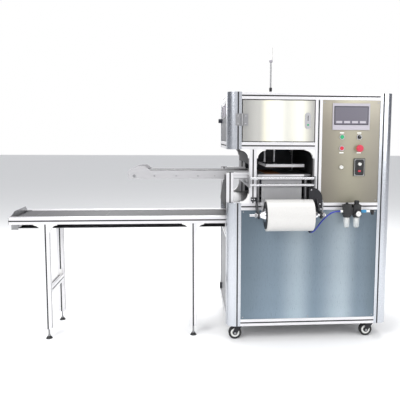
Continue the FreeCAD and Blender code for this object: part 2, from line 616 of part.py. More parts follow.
def emergency_stop():
    """Red mushroom on its stem, turned as one piece."""
    y = PANEL_INSET - MUSHROOM_OUT
    back = y + MUSHROOM_THICK
    profile = [V(0, y, 0), V(MUSHROOM_R * 0.55, y + 1.0, 0), V(MUSHROOM_R * 0.9, y + 4.5, 0), V(MUSHROOM_R, y + 9, 0),
               V(MUSHROOM_R, back, 0), V(BUTTON_R, back, 0), V(BUTTON_R, PANEL_INSET + BUTTON_STEM, 0),
               V(0, PANEL_INSET + BUTTON_STEM, 0)]
    face = Part.Face(Part.makePolygon(profile + [profile[0]]))
    head = face.revolve(V(0, 0, 0), V(0, 1, 0), 360)
    head.translate(V(SWITCH_COLUMN, 0, STOP_ROW))
    return [head]


def selector_knob():
    """Turning selector: a round base with a lever across it."""
    base = rod(SWITCH_COLUMN, PANEL_INSET - BUTTON_OUT, BUTTON_ROW, "y", BUTTON_R, BUTTON_OUT + BUTTON_STEM)
    lever = block(SWITCH_COLUMN - LEVER_WIDE / 2, SWITCH_COLUMN + LEVER_WIDE / 2, PANEL_INSET - LEVER_OUT,
                  PANEL_INSET - BUTTON_OUT, BUTTON_ROW - BUTTON_R + 0.6, BUTTON_ROW + BUTTON_R - 0.6)
    return [base.fuse(lever)]


def timer_knob():
    """Round turning knob with a slight taper, on its stem."""
    knob = Part.makeCone(KNOB_R * 0.85, KNOB_R, KNOB_OUT - KNOB_LIFT, V(BUTTON_COLUMN, PANEL_INSET - KNOB_OUT, KNOB_ROW),
                         V(0, 1, 0))
    stem = rod(BUTTON_COLUMN, PANEL_INSET - KNOB_LIFT - 1, KNOB_ROW, "y", KNOB_STEM_R, KNOB_LIFT + 1 + BUTTON_STEM)
    return [knob.fuse(stem)]


def speed_controller():
    """Box of the speed controller with the hole for its knob and a rocker switch."""
    x, z = SPEED_WIDTH / 2, SPEED_HEIGHT / 2
    face = PANEL_INSET - SPEED_OUT
    box = block(SPEED_X - x, SPEED_X + x, face, PANEL_INSET, SPEED_Z - z, SPEED_Z + z)
    rocker = block(SPEED_X - 9, SPEED_X + 9, face - 3, face, SPEED_Z - 27, SPEED_Z - 3)
    return [box.fuse(rocker).cut(rod(SPEED_X, face - 1, SPEED_KNOB_Z, "y", KNOB_STEM_R + BUTTON_PLAY, 6))]


def speed_knob():
    """Small knob of the speed controller."""
    face = PANEL_INSET - SPEED_OUT
    knob = Part.makeCone(SPEED_KNOB_R * 0.85, SPEED_KNOB_R, SPEED_KNOB_OUT - KNOB_LIFT,
                         V(SPEED_X, face - SPEED_KNOB_OUT, SPEED_KNOB_Z), V(0, 1, 0))
    return [knob.fuse(rod(SPEED_X, face - KNOB_LIFT - 1, SPEED_KNOB_Z, "y", KNOB_STEM_R, KNOB_LIFT + 5))]


# ---- film ------------------------------------------------------------------------------------------------------
def film_roll():
    """Film wound on its core."""
    roll = rod(ROLL_LEFT, ROLL_Y, ROLL_Z, "x", ROLL_R, ROLL_LENGTH)
    return [roll.cut(rod(ROLL_LEFT - 1, ROLL_Y, ROLL_Z, "x", CORE_R, ROLL_LENGTH + 2))]


def roll_shaft():
    """Shaft with the two cones that centre the core, turned as one."""
    left, right = ROLL_LEFT - FLANGE_THICK, ROLL_RIGHT + FLANGE_THICK
    core = CORE_R - SEAT
    profile = [(SHAFT_LEFT, 0), (SHAFT_LEFT, SHAFT_R), (left - CONE_LENGTH, SHAFT_R), (left - CONE_LENGTH, CONE_SMALL_R),
               (left, CONE_R), (left, core), (ROLL_LEFT + 20, core), (ROLL_LEFT + 30, SHAFT_R),
               (ROLL_RIGHT - 30, SHAFT_R), (ROLL_RIGHT - 20, core), (right, core), (right, CONE_R),
               (right + CONE_LENGTH, CONE_SMALL_R), (right + CONE_LENGTH, SHAFT_R), (SHAFT_RIGHT, SHAFT_R),
               (SHAFT_RIGHT, 0)]
    points = [V(x, r, 0) for x, r in profile]
    turned = Part.Face(Part.makePolygon(points + [points[0]])).revolve(V(0, 0, 0), V(1, 0, 0), 360)
    turned.translate(V(0, ROLL_Y, ROLL_Z))
    return [turned]


def roll_flanges():
    """Dark discs at the two ends of the roll."""
    discs = []
    for x in (ROLL_LEFT - FLANGE_THICK, ROLL_RIGHT):
        disc = rod(x, ROLL_Y, ROLL_Z, "x", FLANGE_R, FLANGE_THICK)
        discs.append(disc.cut(rod(x - 1, ROLL_Y, ROLL_Z, "x", CORE_R, FLANGE_THICK + 2)))
    return discs


def arm_plate(x, root_top, root_bottom):
    """Plate from the frame to the shaft, with a round nose."""
    up = ARM_NOSE * math.sqrt(0.5)
    points = [V(x, 0, root_bottom), V(x, 0, root_top), V(x, ROLL_Y + up, ROLL_Z + up),
              (V(x, ROLL_Y - ARM_NOSE, ROLL_Z), V(x, ROLL_Y, ROLL_Z - ARM_NOSE))]
    plate = prism(points, V(ARM_THICK, 0, 0))
    return plate.cut(rod(x - 1, ROLL_Y, ROLL_Z, "x", SHAFT_R + PIN_PLAY, ARM_THICK + 2))


def roll_arms():
    """Left arm with a low foot on the window post; right arm with its broad curved foot on the mid post."""
    left = arm_plate(LEFT_ARM_X, ARM_ROOT_Z, DECK - BAR)
    foot = block(HOOD_POST_LEFT + 8, LEFT_ARM_X + ARM_THICK, -ARM_THICK, 0, ARM_ROOT_Z - LEFT_FOOT, ARM_ROOT_Z)
    bow = HORN_R * (1 - math.sqrt(0.5))
    horn = [V(HORN_LEFT, -ARM_THICK, HORN_BOTTOM), V(HORN_LEFT, -ARM_THICK, HORN_TOP),
            V(HORN_RIGHT - HORN_R, -ARM_THICK, HORN_TOP),
            (V(HORN_RIGHT - bow, -ARM_THICK, HORN_TOP - bow), V(HORN_RIGHT, -ARM_THICK, HORN_TOP - HORN_R)),
            V(HORN_RIGHT, -ARM_THICK, HORN_BOTTOM)]
    right = arm_plate(RIGHT_ARM_X, ARM_ROOT_Z, DECK - BAR)
    return [left.fuse(foot), right.fuse(prism(horn, V(0, ARM_THICK, 0)))]


def guide_roller(z):
    """Idle roller with a journal at each end."""
    x0, x1 = HOOD_POST_LEFT + GUIDE_PLAY, MID_LEFT - GUIDE_PLATE - GUIDE_PLAY
    roller = rod(x0, GUIDE_Y, z, "x", GUIDE_R, x1 - x0)
    reach = GUIDE_PLAY + GUIDE_PLATE - 1
    return [roller.fuse(rod(x0 - reach, GUIDE_Y, z, "x", JOURNAL_R, x1 - x0 + 2 * reach))]


def film_web():
    """Film from the roll up behind both guide rollers, and in over the upper one to the table."""
    lift, wide = FILM_LIFT + FILM_THICK / 2, V(FILM_RIGHT - FILM_LEFT, 0, 0)
    dy, dz = GUIDE_Y - ROLL_Y, GUIDE_LOWER_Z - ROLL_Z
    away = math.hypot(dy, dz)
    slant = math.atan2(dz, dy) - math.acos((ROLL_R - GUIDE_R) / away)
    ny, nz = math.cos(slant), math.sin(slant)
    ends = []
    for offset in (-FILM_THICK / 2, FILM_THICK / 2):
        ends.append([V(FILM_LEFT, y + ny * (r + lift + offset), z + nz * (r + lift + offset))
                     for y, z, r in ((ROLL_Y, ROLL_Z, ROLL_R), (GUIDE_Y, GUIDE_LOWER_Z, GUIDE_R))])
    rising = prism([ends[0][0], ends[0][1], ends[1][1], ends[1][0]], wide)
    y = GUIDE_Y + GUIDE_R + FILM_LIFT
    upright = block(FILM_LEFT, FILM_RIGHT, y, y + FILM_THICK, GUIDE_LOWER_Z, GUIDE_UPPER_Z)
    z = GUIDE_UPPER_Z + GUIDE_R + FILM_LIFT
    level = block(FILM_LEFT, FILM_RIGHT, GUIDE_Y, TABLE_FRONT - SEAT, z, z + FILM_THICK)
    return [rising, upright, level]


# ---- sealing station -------------------------------------------------------------------------------------------
def head_rod_x(side):
    """Place of a guide rod of the sealing head."""
    return HEAD_LEFT + HEAD_BAR / 2 + (side - 0.5) * ROD_X


def sealing_head():
    """L-shaped sealing bar that hangs on two guide rods and the cylinder's rod."""
    top = HEAD_BASE + HEAD_BAR_HEIGHT
    head = block(HEAD_LEFT, HEAD_LEFT + HEAD_BAR, HEAD_FRONT, HEAD_BACK, HEAD_BASE, top)
    head = head.fuse(block(HEAD_LEFT + HEAD_BAR, HEAD_RIGHT, HEAD_FRONT, HEAD_FRONT + BAR, HEAD_BASE, top))
    for side in (0, 1):
        head = head.fuse(rod(head_rod_x(side), ROD_NEAR, top, "z", ROD_R, ROD_TOP - top))
    return [head]


def sealing_frame():
    """Lower table on four legs, and over the ceiling the bridge with its cylinder."""
    right = MID_LEFT - TABLE_SIDE
    parts = [block(TABLE_LEFT, right, TABLE_FRONT, TABLE_BACK, TABLE_TOP - TABLE_THICK, TABLE_TOP)]
    for x in (TABLE_LEFT + TABLE_LEG_INSET / 2, right - TABLE_LEG_INSET):
        for y in (TABLE_FRONT + TABLE_LEG_INSET, TABLE_BACK - TABLE_LEG_INSET):
            leg = rod(x, y, DECK, "z", TABLE_LEG_R, TABLE_TOP - TABLE_THICK - DECK)
            parts[0] = parts[0].fuse(leg)
    base, ceiling = CYLINDER_BASE, HOOD_BASE + PLATE
    middle, wide = HEAD_LEFT + HEAD_BAR / 2, 30
    reach = ROD_X / 2 + ROD_R + 10
    bridge = block(middle - reach - BRIDGE_THICK, middle + reach + BRIDGE_THICK, ROD_NEAR + 20, ROD_NEAR + 20 + wide,
                   base - BRIDGE_THICK, base)
    for x in (middle - reach - BRIDGE_THICK, middle + reach):
        cheek = block(x, x + BRIDGE_THICK, ROD_NEAR + 20, ROD_NEAR + 20 + wide, ceiling, base - BRIDGE_THICK)
        bridge = bridge.fuse(cheek)
    cylinder = rod(middle, ROD_NEAR + 20 + wide / 2, base, "z", CYLINDER_R, CYLINDER_TOP - base)
    return parts + [bridge.fuse(cylinder)]


# ---- air unit --------------------------------------------------------------------------------------------------
def air_regulator():
    """Filter and regulator blocks with their bowls, dome, gauge and left port, on a bracket from the rail."""
    half, front = AIR_BLOCK / 2, AIR_Y - AIR_BLOCK / 2
    unit = block(FILTER_X - half, REGULATOR_X + half, front, AIR_Y + half, AIR_BOTTOM, AIR_TOP)
    for x in (FILTER_X, REGULATOR_X):
        bowl = Part.makeCone(BOWL_R * 0.8, BOWL_R, AIR_BOTTOM - BOWL_BASE, V(x, AIR_Y, BOWL_BASE))
        unit = unit.fuse(bowl)
    unit = unit.fuse(rod(FILTER_X, AIR_Y, AIR_TOP, "z", DOME_R, DOME_HEIGHT))
    unit = unit.fuse(rod(REGULATOR_X, front - GAUGE_OUT, GAUGE_Z, "y", GAUGE_R, GAUGE_OUT))
    unit = unit.fuse(rod(FILTER_X - half - PORT_LENGTH, AIR_Y, AIR_Z, "x", PORT_R, PORT_LENGTH))
    bracket = block(FILTER_X, REGULATOR_X, AIR_Y + half, 0, DECK - BAR + 4, DECK - 6)
    return [unit.fuse(bracket)]


def regulator_knob():
    """Turning cap of the regulator."""
    lift = 0.5
    return [rod(REGULATOR_X, AIR_Y, AIR_TOP + lift, "z", REG_KNOB_R, REG_KNOB_HEIGHT)]


def hand_valve():
    """Blue slide valve, its union and the elbow with the open port for the supply hose."""
    x = REGULATOR_X + AIR_BLOCK / 2
    turn = x + VALVE_LENGTH + UNION_LENGTH + ELBOW_LENGTH - PORT_R
    valve = rod(x, AIR_Y, AIR_Z, "x", VALVE_R, VALVE_LENGTH)
    valve = valve.fuse(rod(x + VALVE_LENGTH - 1, AIR_Y, AIR_Z, "x", PORT_R, turn - x - VALVE_LENGTH + 1))
    elbow = rod(turn, AIR_Y, AIR_Z + ELBOW_R, "-z", ELBOW_R, ELBOW_DROP + ELBOW_R)
    return [valve.fuse(elbow).cut(rod(turn, AIR_Y, AIR_Z - ELBOW_DROP - 1, "z", ELBOW_BORE_R, ELBOW_DROP + 1))]


def hose_route():
    """The hose's corner points from the filter's port to the gland in the front panel."""
    start = (FILTER_X - AIR_BLOCK / 2 - PORT_LENGTH, AIR_Y, AIR_Z)
    end = (GLAND_X, PANEL_INSET - GLAND_OUT - SEAT, GLAND_Z)
    return [V(*p) for p in [start] + HOSE_POINTS + [end]]


def air_hose():
    """Hose along straight runs joined by tangent arcs."""
    points, share = hose_route(), 0.45
    edges, last, radii = [], points[0], []
    for before, here, after in zip(points, points[1:], points[2:]):
        a, b = (before - here), (after - here)
        cut = share * min(a.Length, b.Length)
        turn = math.pi - a.getAngle(b)
        radii.append(round(cut / math.tan(turn / 2)))
        first, second = here + a.normalize() * cut, here + b.normalize() * cut
        radius = cut / math.tan(turn / 2)
        bisector = (a + b).normalize()
        middle = here + bisector * (math.hypot(radius, cut) - radius)
        edges += [Part.LineSegment(last, first).toShape(), Part.Arc(first, middle, second).toShape()]
        last = second
    edges.append(Part.LineSegment(last, points[-1]).toShape())
    print("hose radii", radii)
    spine = Part.Wire(edges)
    circle = Part.Wire(Part.makeCircle(HOSE_R, points[0], points[1] - points[0]))
    return [spine.makePipeShell([circle], True, False)]


def hose_gland():
    """Round gland where the hose goes through the front panel."""
    return [rod(GLAND_X, PANEL_INSET - GLAND_OUT, GLAND_Z, "y", GLAND_R, GLAND_OUT)]


# ---- lamp mast -------------------------------------------------------------------------------------------------
def lamp_mast():
    """Slim mast with its socket and the lamp tube on top."""
    foot = HEIGHT - PANEL_INSET
    mast = rod(MAST_X, MAST_Y, foot, "z", MAST_SOCKET_R, MAST_SOCKET_TOP - foot)
    mast = mast.fuse(rod(MAST_X, MAST_Y, MAST_SOCKET_TOP, "z", MAST_R, MAST_TOP - MAST_SOCKET_TOP))
    return [mast.fuse(rod(MAST_X, MAST_Y, MAST_TOP, "z", LAMP_R, LAMP_TOP - MAST_TOP))]


# ---- upper conveyor --------------------------------------------------------------------------------------------
def upper_conveyor_plates():
    """Side plates with the hump over the end roller, and the bed under the belt."""
    def side(y):
        points = [V(UPPER_LEFT, y, UPPER_BASE), V(UPPER_LEFT, y, UPPER_TOP - 8),
                  (V(UPPER_LEFT + 28, y, HUMP_TOP - 12), V(UPPER_LEFT + 75, y, HUMP_TOP)), V(UPPER_LEFT + 97, y, HUMP_TOP),
                  V(UPPER_LEFT + 127, y, UPPER_TOP), V(UPPER_RIGHT, y, UPPER_TOP), V(UPPER_RIGHT, y, UPPER_BASE)]
        return prism(points, V(0, UPPER_PLATE, 0))
    bed_top = UPPER_BELT_TOP - BELT - SEAT
    bed = block(UPPER_AXIS_LEFT + UPPER_ROLLER_R + 4, UPPER_AXIS_RIGHT - UPPER_ROLLER_R - 4, UPPER_FRONT + UPPER_PLATE,
                UPPER_BACK - UPPER_PLATE, bed_top - BED_THICK, bed_top)
    return [side(UPPER_FRONT), side(UPPER_BACK - UPPER_PLATE), bed]


def conveyor_belts():
    """Upper and lower belts, each one loop."""
    upper = belt_loop(UPPER_AXIS_LEFT, UPPER_AXIS_RIGHT, UPPER_AXIS_Z, UPPER_ROLLER_R,
                      UPPER_FRONT + UPPER_PLATE + 2, UPPER_BACK - UPPER_PLATE - 2)
    lower = belt_loop(LOWER_AXIS_LEFT, LOWER_AXIS_RIGHT, LOWER_AXIS_Z, LOWER_ROLLER_R,
                      LOWER_FRONT + BAR + BELT_CLEAR, LOWER_BACK - BAR - BELT_CLEAR)
    return [upper, lower]


def belt_rollers():
    """End rollers of both belts with their stub axles in the side plates."""
    rollers = []
    for x in (UPPER_AXIS_LEFT, UPPER_AXIS_RIGHT):
        y0, y1 = UPPER_FRONT + UPPER_PLATE, UPPER_BACK - UPPER_PLATE
        rollers.append(rod(x, y0, UPPER_AXIS_Z, "y", UPPER_ROLLER_R, y1 - y0))
    for x in (LOWER_AXIS_LEFT, LOWER_AXIS_RIGHT):
        y0, y1 = LOWER_FRONT + BAR + END_PLATE_THICK, LOWER_BACK - BAR - END_PLATE_THICK
        rollers.append(rod(x, y0, LOWER_AXIS_Z, "y", LOWER_ROLLER_R, y1 - y0))
    return rollers


def conveyor_stand():
    """Posts, small rails and cross bars that carry the upper conveyor."""
    parts, z = [], UPPER_BASE - HALF
    for y, rail_y in ((BAR + HALF, BAR + SMALL_BAR / 2), (DEPTH - BAR - HALF, DEPTH - BAR - SMALL_BAR / 2)):
        parts += [bar("z", HALF, y, DECK, STAND_TOP),
                  bar("x", rail_y, STAND_TOP - SMALL_BAR / 2, BAR, HOOD_POST_RIGHT, SMALL_BAR)]
    return parts + [bar("y", HALF, z, RAIL_FRONT, RAIL_BACK), bar("y", HOOD_POST_X, z, BAR, DEPTH - BAR)]


# ---- lower conveyor --------------------------------------------------------------------------------------------
def lower_conveyor_rails():
    """The two long rails."""
    z = RAIL_BASE + HALF
    return [bar("x", y, z, LOWER_LEFT, LOWER_RIGHT) for y in (LOWER_FRONT + HALF, LOWER_BACK - HALF)]


def lower_conveyor_plates():
    """Roller plates at both ends, the bed under the belt and the end stop over its left end."""
    parts, inner = [], (LOWER_FRONT + BAR, LOWER_BACK - BAR)
    top = RAIL_BASE + BAR
    for x in (LOWER_LEFT, LOWER_RIGHT - END_PLATE):
        for y in (inner[0], inner[1] - END_PLATE_THICK):
            parts.append(block(x, x + END_PLATE, y, y + END_PLATE_THICK, END_PLATE_BASE, top))
    bed_top = LOWER_BELT_TOP - BELT - SEAT
    bed = block(LOWER_AXIS_LEFT + LOWER_ROLLER_R + 4, LOWER_AXIS_RIGHT - LOWER_ROLLER_R - 4, inner[0], inner[1],
                bed_top - BED_THICK, bed_top)
    x, slope = LOWER_LEFT - STOP_THICK, 50
    stop = [V(x, LOWER_FRONT + HALF, RAIL_BASE + HALF), V(x, LOWER_FRONT + HALF, top),
            V(x, inner[0] + 20, top + 6), V(x, inner[0] + 20 + slope, STOP_TOP), V(x, inner[1], STOP_TOP),
            V(x, LOWER_BACK - HALF, top), V(x, LOWER_BACK - HALF, RAIL_BASE + HALF)]
    return parts + [bed, prism(stop, V(STOP_THICK, 0, 0))]


def conveyor_legs():
    """Four legs, and a brace between each near and far leg."""
    parts, near, far = [], LOWER_FRONT + HALF, LOWER_BACK - HALF
    for x in (LEG_LEFT_X, LEG_RIGHT_X):
        parts += [bar("z", x, y, LEG_BASE, RAIL_BASE) for y in (near, far)]
        parts.append(bar("y", x, BRACE_Z, near + HALF, far - HALF))
    return parts


def levelling_feet():
    """Foot under each leg: a pad turned with its stud."""
    feet = []
    for x in (LEG_LEFT_X, LEG_RIGHT_X):
        for y in (LOWER_FRONT + HALF, LOWER_BACK - HALF):
            pad = Part.makeCone(FOOT_R, FOOT_R * 0.5, FOOT_PAD, V(x, y, 0))
            feet.append(pad.fuse(rod(x, y, FOOT_PAD, "z", FOOT_STUD_R, LEG_BASE - FOOT_PAD)))
    return feet


# ---- casters ---------------------------------------------------------------------------------------------------
def caster_plates():
    """Mounting plate of each caster with its kingpin."""
    half, top = CASTER_PLATE / 2, BASE
    plates = []
    for x, y, way in CASTERS.values():
        plate = block(x - half, x + half, y - half, y + half, top - CASTER_PLATE_THICK, top)
        plates.append(plate.fuse(rod(x, y, top - CASTER_PLATE_THICK, "-z", 6, 6)))
    return plates


def caster_fork(key):
    """Crown with a cheek each side of the wheel and the axle between them."""
    x, y, way = CASTERS[key]
    crown = rod(x, y, FORK_TOP - FORK_CROWN, "z", FORK_R, FORK_CROWN)
    inner = WHEEL_WIDE / 2 + FORK_SIDE
    wheel_x = x + way * TRAIL
    fork = crown
    for y0 in (y - inner - FORK_THICK, y + inner):
        low, r = FORK_TOP - FORK_CROWN, 12
        cheek = [V(x - way * FORK_R * 0.7, y0, low), V(wheel_x - way * r, y0, WHEEL_R),
                 (V(wheel_x, y0, WHEEL_R - r), V(wheel_x + way * r, y0, WHEEL_R)), V(x + way * FORK_R, y0, low)]
        fork = fork.fuse(prism(cheek, V(0, FORK_THICK, 0)))
    fork = fork.fuse(rod(wheel_x, y - inner - 1, WHEEL_R, "y", AXLE_R, 2 * inner + 2))
    return [fork.cut(rod(x, y, FORK_TOP - FORK_CROWN - 1, "z", 6 + PIN_PLAY, FORK_CROWN + 2))]


def caster_wheel(key):
    """Wheel turned with a rounded tread and a dished hub."""
    x, y, way = CASTERS[key]
    half, r = WHEEL_WIDE / 2, WHEEL_R
    bore = AXLE_R + PIN_PLAY
    profile = [(bore, -half), (r * 0.35, -half), (r * 0.42, -half + 3), (r * 0.68, -half + 3), (r * 0.74, -half),
               (r - 4, -half), (r, -half + 4), (r, half - 4), (r - 4, half), (r * 0.74, half), (r * 0.68, half - 3),
               (r * 0.42, half - 3), (r * 0.35, half), (bore, half)]
    points = [V(a, b, 0) for a, b in profile]
    wheel = Part.Face(Part.makePolygon(points + [points[0]])).revolve(V(0, 0, 0), V(0, 1, 0), 360)
    wheel.translate(V(x + way * TRAIL, y, WHEEL_R))
    return [wheel]


# ---- all nodes -------------------------------------------------------------------------------------------------
def nodes():
    """Every node's solids by name."""
    made = {
        "corner_posts": corner_posts(), "inner_posts": inner_posts(),
        "long_rails": long_rails(HALF) + long_rails(DEPTH - HALF),
        "side_rails": side_rails(), "frame_brackets": frame_brackets(),
        "guide_plates": guide_plates(), "lower_front_panel": lower_front_panel(), "control_panel": control_panel(),
        "left_panel": left_panel(), "outer_panels": right_panels() + rear_panels() + top_panel(),
        "floor_plates": floor_plates(), "work_zone_walls": work_zone_walls(),
        "hood_side_panel": hood_side_panel(), "hood_door": hood_door(), "hinge_fixed": hinge_fixed(),
        "hinge_leaf": hinge_leaf(), "door_lock": door_lock(), "touch_screen": touch_screen(),
        "button_bezels": button_bezels(), "start_button": push_button(BUTTON_ROW), "stop_button": push_button(STOP_ROW),
        "emergency_stop": emergency_stop(), "selector_knob": selector_knob(), "timer_knob": timer_knob(),
        "speed_controller": speed_controller(), "speed_knob": speed_knob(), "film_roll": film_roll(),
        "roll_shaft": roll_shaft(), "roll_flanges": roll_flanges(), "roll_arms": roll_arms(),
        "guide_roller_upper": guide_roller(GUIDE_UPPER_Z), "guide_roller_lower": guide_roller(GUIDE_LOWER_Z),
        "film_web": film_web(), "sealing_head": sealing_head(), "sealing_frame": sealing_frame(),
        "air_regulator": air_regulator(), "regulator_knob": regulator_knob(), "hand_valve": hand_valve(),
        "air_hose": air_hose(), "hose_gland": hose_gland(), "lamp_mast": lamp_mast(),
        "upper_conveyor_plates": upper_conveyor_plates(), "conveyor_belts": conveyor_belts(),
        "belt_rollers": belt_rollers(), "conveyor_stand": conveyor_stand(),
        "lower_conveyor_rails": lower_conveyor_rails(), "lower_conveyor_plates": lower_conveyor_plates(),
        "conveyor_legs": conveyor_legs(), "levelling_feet": levelling_feet(), "caster_plates": caster_plates(),
    }
    for key in CASTERS:
        made["caster_fork_" + key] = caster_fork(key)
        made["caster_wheel_" + key] = caster_wheel(key)
    return made


def main():
    """Write one STEP file per node, moved so that the origin is under the middle of the whole object."""
    os.makedirs("parts", exist_ok=True)
    made = nodes()
    for name, solids in made.items():
        shape = solids[0] if len(solids) == 1 else Part.makeCompound(solids)
        shape = shape.copy()
        shape.translate(-ORIGIN)
        shape.exportStep(os.path.join("parts", name + ".step"))
    print("nodes", len(made))


main()
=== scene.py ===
"""Looks of a film wrapping machine: finishes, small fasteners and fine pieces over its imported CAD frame."""

import logging
import math
from dataclasses import dataclass, field
from enum import Enum
from typing import Iterable, Sequence, Union

import bmesh
import bpy
from mathutils import Matrix, Vector


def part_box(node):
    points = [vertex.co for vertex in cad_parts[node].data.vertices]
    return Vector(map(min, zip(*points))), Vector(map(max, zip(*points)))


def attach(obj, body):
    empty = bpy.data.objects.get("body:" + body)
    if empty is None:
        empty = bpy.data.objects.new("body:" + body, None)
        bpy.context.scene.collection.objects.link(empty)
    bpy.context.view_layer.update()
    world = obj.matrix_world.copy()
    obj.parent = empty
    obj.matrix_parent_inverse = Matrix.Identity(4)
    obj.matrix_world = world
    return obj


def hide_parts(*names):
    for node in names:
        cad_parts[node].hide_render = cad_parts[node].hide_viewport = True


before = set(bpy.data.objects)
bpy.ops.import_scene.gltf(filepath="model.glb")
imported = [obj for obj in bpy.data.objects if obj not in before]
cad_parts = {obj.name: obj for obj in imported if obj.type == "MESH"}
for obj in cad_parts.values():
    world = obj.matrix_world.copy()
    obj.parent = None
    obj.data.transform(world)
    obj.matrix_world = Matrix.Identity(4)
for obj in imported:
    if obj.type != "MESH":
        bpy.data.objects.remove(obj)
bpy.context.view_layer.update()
LOG = logging.getLogger("scene")
POST_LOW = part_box("corner_posts")[0]
Point = Sequence[float]
Colour = Union[bpy.types.NodeSocket, tuple]

# The machine in millimetres from the cabinet's lower left front corner
WIDTH, DEPTH, HEIGHT = 940.0, 660.0, 1420.0
BASE, DECK, HOOD_BASE = 95.0, 805.0, 1105.0
BAR, CORNER = 40.0, 80.0                    # side of a slotted bar, arm of a corner post
HALF = BAR / 2
HOOD_POST, MIDDLE_POST, SIDE_RAIL = 145.0, 511.0, 613.0
FACE = 3.0                                  # panels behind the bars' faces
LEG_LEFT, LEG_RIGHT = -1025.0, -188.0
RAIL_FRONT, RAIL_BACK, RAIL_TOP = 139.0, 447.0, 713.0
CONVEYOR_LEFT, CONVEYOR_RIGHT = -1224.0, 330.0
BRACE_Z = 285.0
ROLL_Y, ROLL_Z, ROLL_R = -105.0, 752.0, 86.0
GUIDE_Y, GUIDE_LOWER_Z, GUIDE_UPPER_Z, GUIDE_R = -30.0, 909.0, 946.0, 7.5
LEFT_COLUMN, RIGHT_COLUMN = 644.0, 743.0
BUTTON_ROW, STOP_ROW, KNOB_ROW = 1176.0, 1113.0, 1007.0
SPEED_X, SPEED_Z = 747.0, 1024.0
CASTER_X, CASTER_Y = 80.0, 66.0


def at(x: float, y: float, z: float) -> Vector:
    """Point of the row frame in metres.

    Args:
        x: millimetres from the cabinet's left face.
        y: millimetres behind its front face.
        z: millimetres above the floor.

    Returns:
        The point as a vector.
    """
    return Vector((POST_LOW[0] + x / 1000, POST_LOW[1] + y / 1000, z / 1000))


def linear(colour: str) -> tuple[float, float, float, float]:
    """Linear colour of an sRGB hex string.

    Args:
        colour: six hex digits after a hash sign.

    Returns:
        Red, green, blue and an alpha of 1.
    """
    parts = [int(colour[i:i + 2], 16) / 255 for i in (1, 3, 5)]
    r, g, b = (c / 12.92 if c <= 0.04045 else ((c + 0.055) / 1.055) ** 2.4 for c in parts)
    return (r, g, b, 1.0)


def add_node(tree: bpy.types.NodeTree, kind: str, inputs: dict | None = None,
             **settings: object) -> bpy.types.Node:
    """New shader node with its settings and inputs.

    Args:
        tree: the node tree.
        kind: the node's type name, after "ShaderNode".
        inputs: input name or number to a value or to another node's output.
        settings: attributes of the node.

    Returns:
        The node.
    """
    node = tree.nodes.new("ShaderNode" + kind)
    for name, value in settings.items():
        setattr(node, name, value)
    for name, value in (inputs or {}).items():
        if isinstance(value, bpy.types.NodeSocket):
            tree.links.new(value, node.inputs[name])
        else:
            node.inputs[name].default_value = value
    return node


class Grain(Enum):
    """Surface texture of a finish: stretch of its noise along X, Y and Z."""

    NONE = (0.0, 0.0, 0.0)
    EVEN = (1.0, 1.0, 1.0)
    BRUSHED_X = (0.02, 1.0, 1.0)
    BRUSHED_Z = (1.0, 1.0, 0.02)
    WRINKLED = (0.35, 1.0, 0.12)


@dataclass(frozen=True)
class Finish:
    """A finish with one colour and an optional grain."""

    name: str
    colour: str
    roughness: float = 0.4
    metallic: float = 0.0
    coat: float = 0.0
    grain: Grain = Grain.EVEN
    grain_mm: float = 1.2
    relief_mm: float = 0.02
    vary: float = 0.05
    alpha: float = 1.0
    transmission: float = 0.0
    glow: float = 0.0

    def colour_output(self, tree: bpy.types.NodeTree, coords: bpy.types.Node) -> Colour:
        """The colour before its variation.

        Args:
            tree: the material's nodes.
            coords: its texture coordinates.

        Returns:
            A linear colour, or the output that carries it.
        """
        return linear(self.colour)

    def add_grain(self, tree: bpy.types.NodeTree, shader: bpy.types.Node, coords: bpy.types.Node,
                  colour: Colour) -> bpy.types.NodeSocket:
        """Vary colour, roughness and surface with the finish's grain.

        Args:
            tree: the material's nodes.
            shader: its shader.
            coords: its texture coordinates.
            colour: the colour before its variation.

        Returns:
            The output with the varied colour.
        """
        scale = [1000 / self.grain_mm * k for k in self.grain.value]
        mapping = add_node(tree, "Mapping", {"Vector": coords.outputs["Object"], "Scale": scale})
        noise = add_node(tree, "TexNoise", {"Vector": mapping.outputs[0], "Scale": 1.0, "Detail": 3.0})
        shade = add_node(tree, "MapRange", {0: noise.outputs[0], 1: 0.3, 2: 0.7,
                                                      3: 1 - self.vary, 4: 1 + self.vary})
        plain = colour if isinstance(colour, bpy.types.NodeSocket) else colour[:3]
        mixed = add_node(tree, "VectorMath", {0: plain, 1: shade.outputs[0]}, operation="MULTIPLY")
        bump = add_node(tree, "Bump", {"Strength": 0.6, "Distance": self.relief_mm / 1000,
                                                 "Height": noise.outputs[0]})
        tree.links.new(bump.outputs[0], shader.inputs["Normal"])
        rough = add_node(tree, "MapRange", {0: noise.outputs[0], 1: 0.2, 2: 0.8,
                                                      3: self.roughness * 0.85, 4: self.roughness * 1.15})
        tree.links.new(rough.outputs[0], shader.inputs["Roughness"])
        return mixed.outputs[0]

    def make(self) -> bpy.types.Material:
        """The material, made once and shared.

        Returns:
            The Blender material.
        """
        found = bpy.data.materials.get(self.name)
        if found is not None:
            return found
        material = bpy.data.materials.new(self.name)
        material.use_nodes = True
        tree = material.node_tree
        shader = tree.nodes["Principled BSDF"]
        settings = {"Roughness": self.roughness, "Metallic": self.metallic, "Coat Weight": self.coat,
                    "Alpha": self.alpha, "Transmission Weight": self.transmission,
                    "Emission Strength": self.glow}
        for name, value in settings.items():
            shader.inputs[name].default_value = value
        coords = add_node(tree, "TexCoord")
        colour = self.colour_output(tree, coords)
        if self.grain is not Grain.NONE:
            colour = self.add_grain(tree, shader, coords, colour)
        for name in ("Base Color", "Emission Color"):
            if not isinstance(colour, bpy.types.NodeSocket):
                shader.inputs[name].default_value = colour
            elif name == "Base Color" or self.glow:
                tree.links.new(colour, shader.inputs[name])
        return material


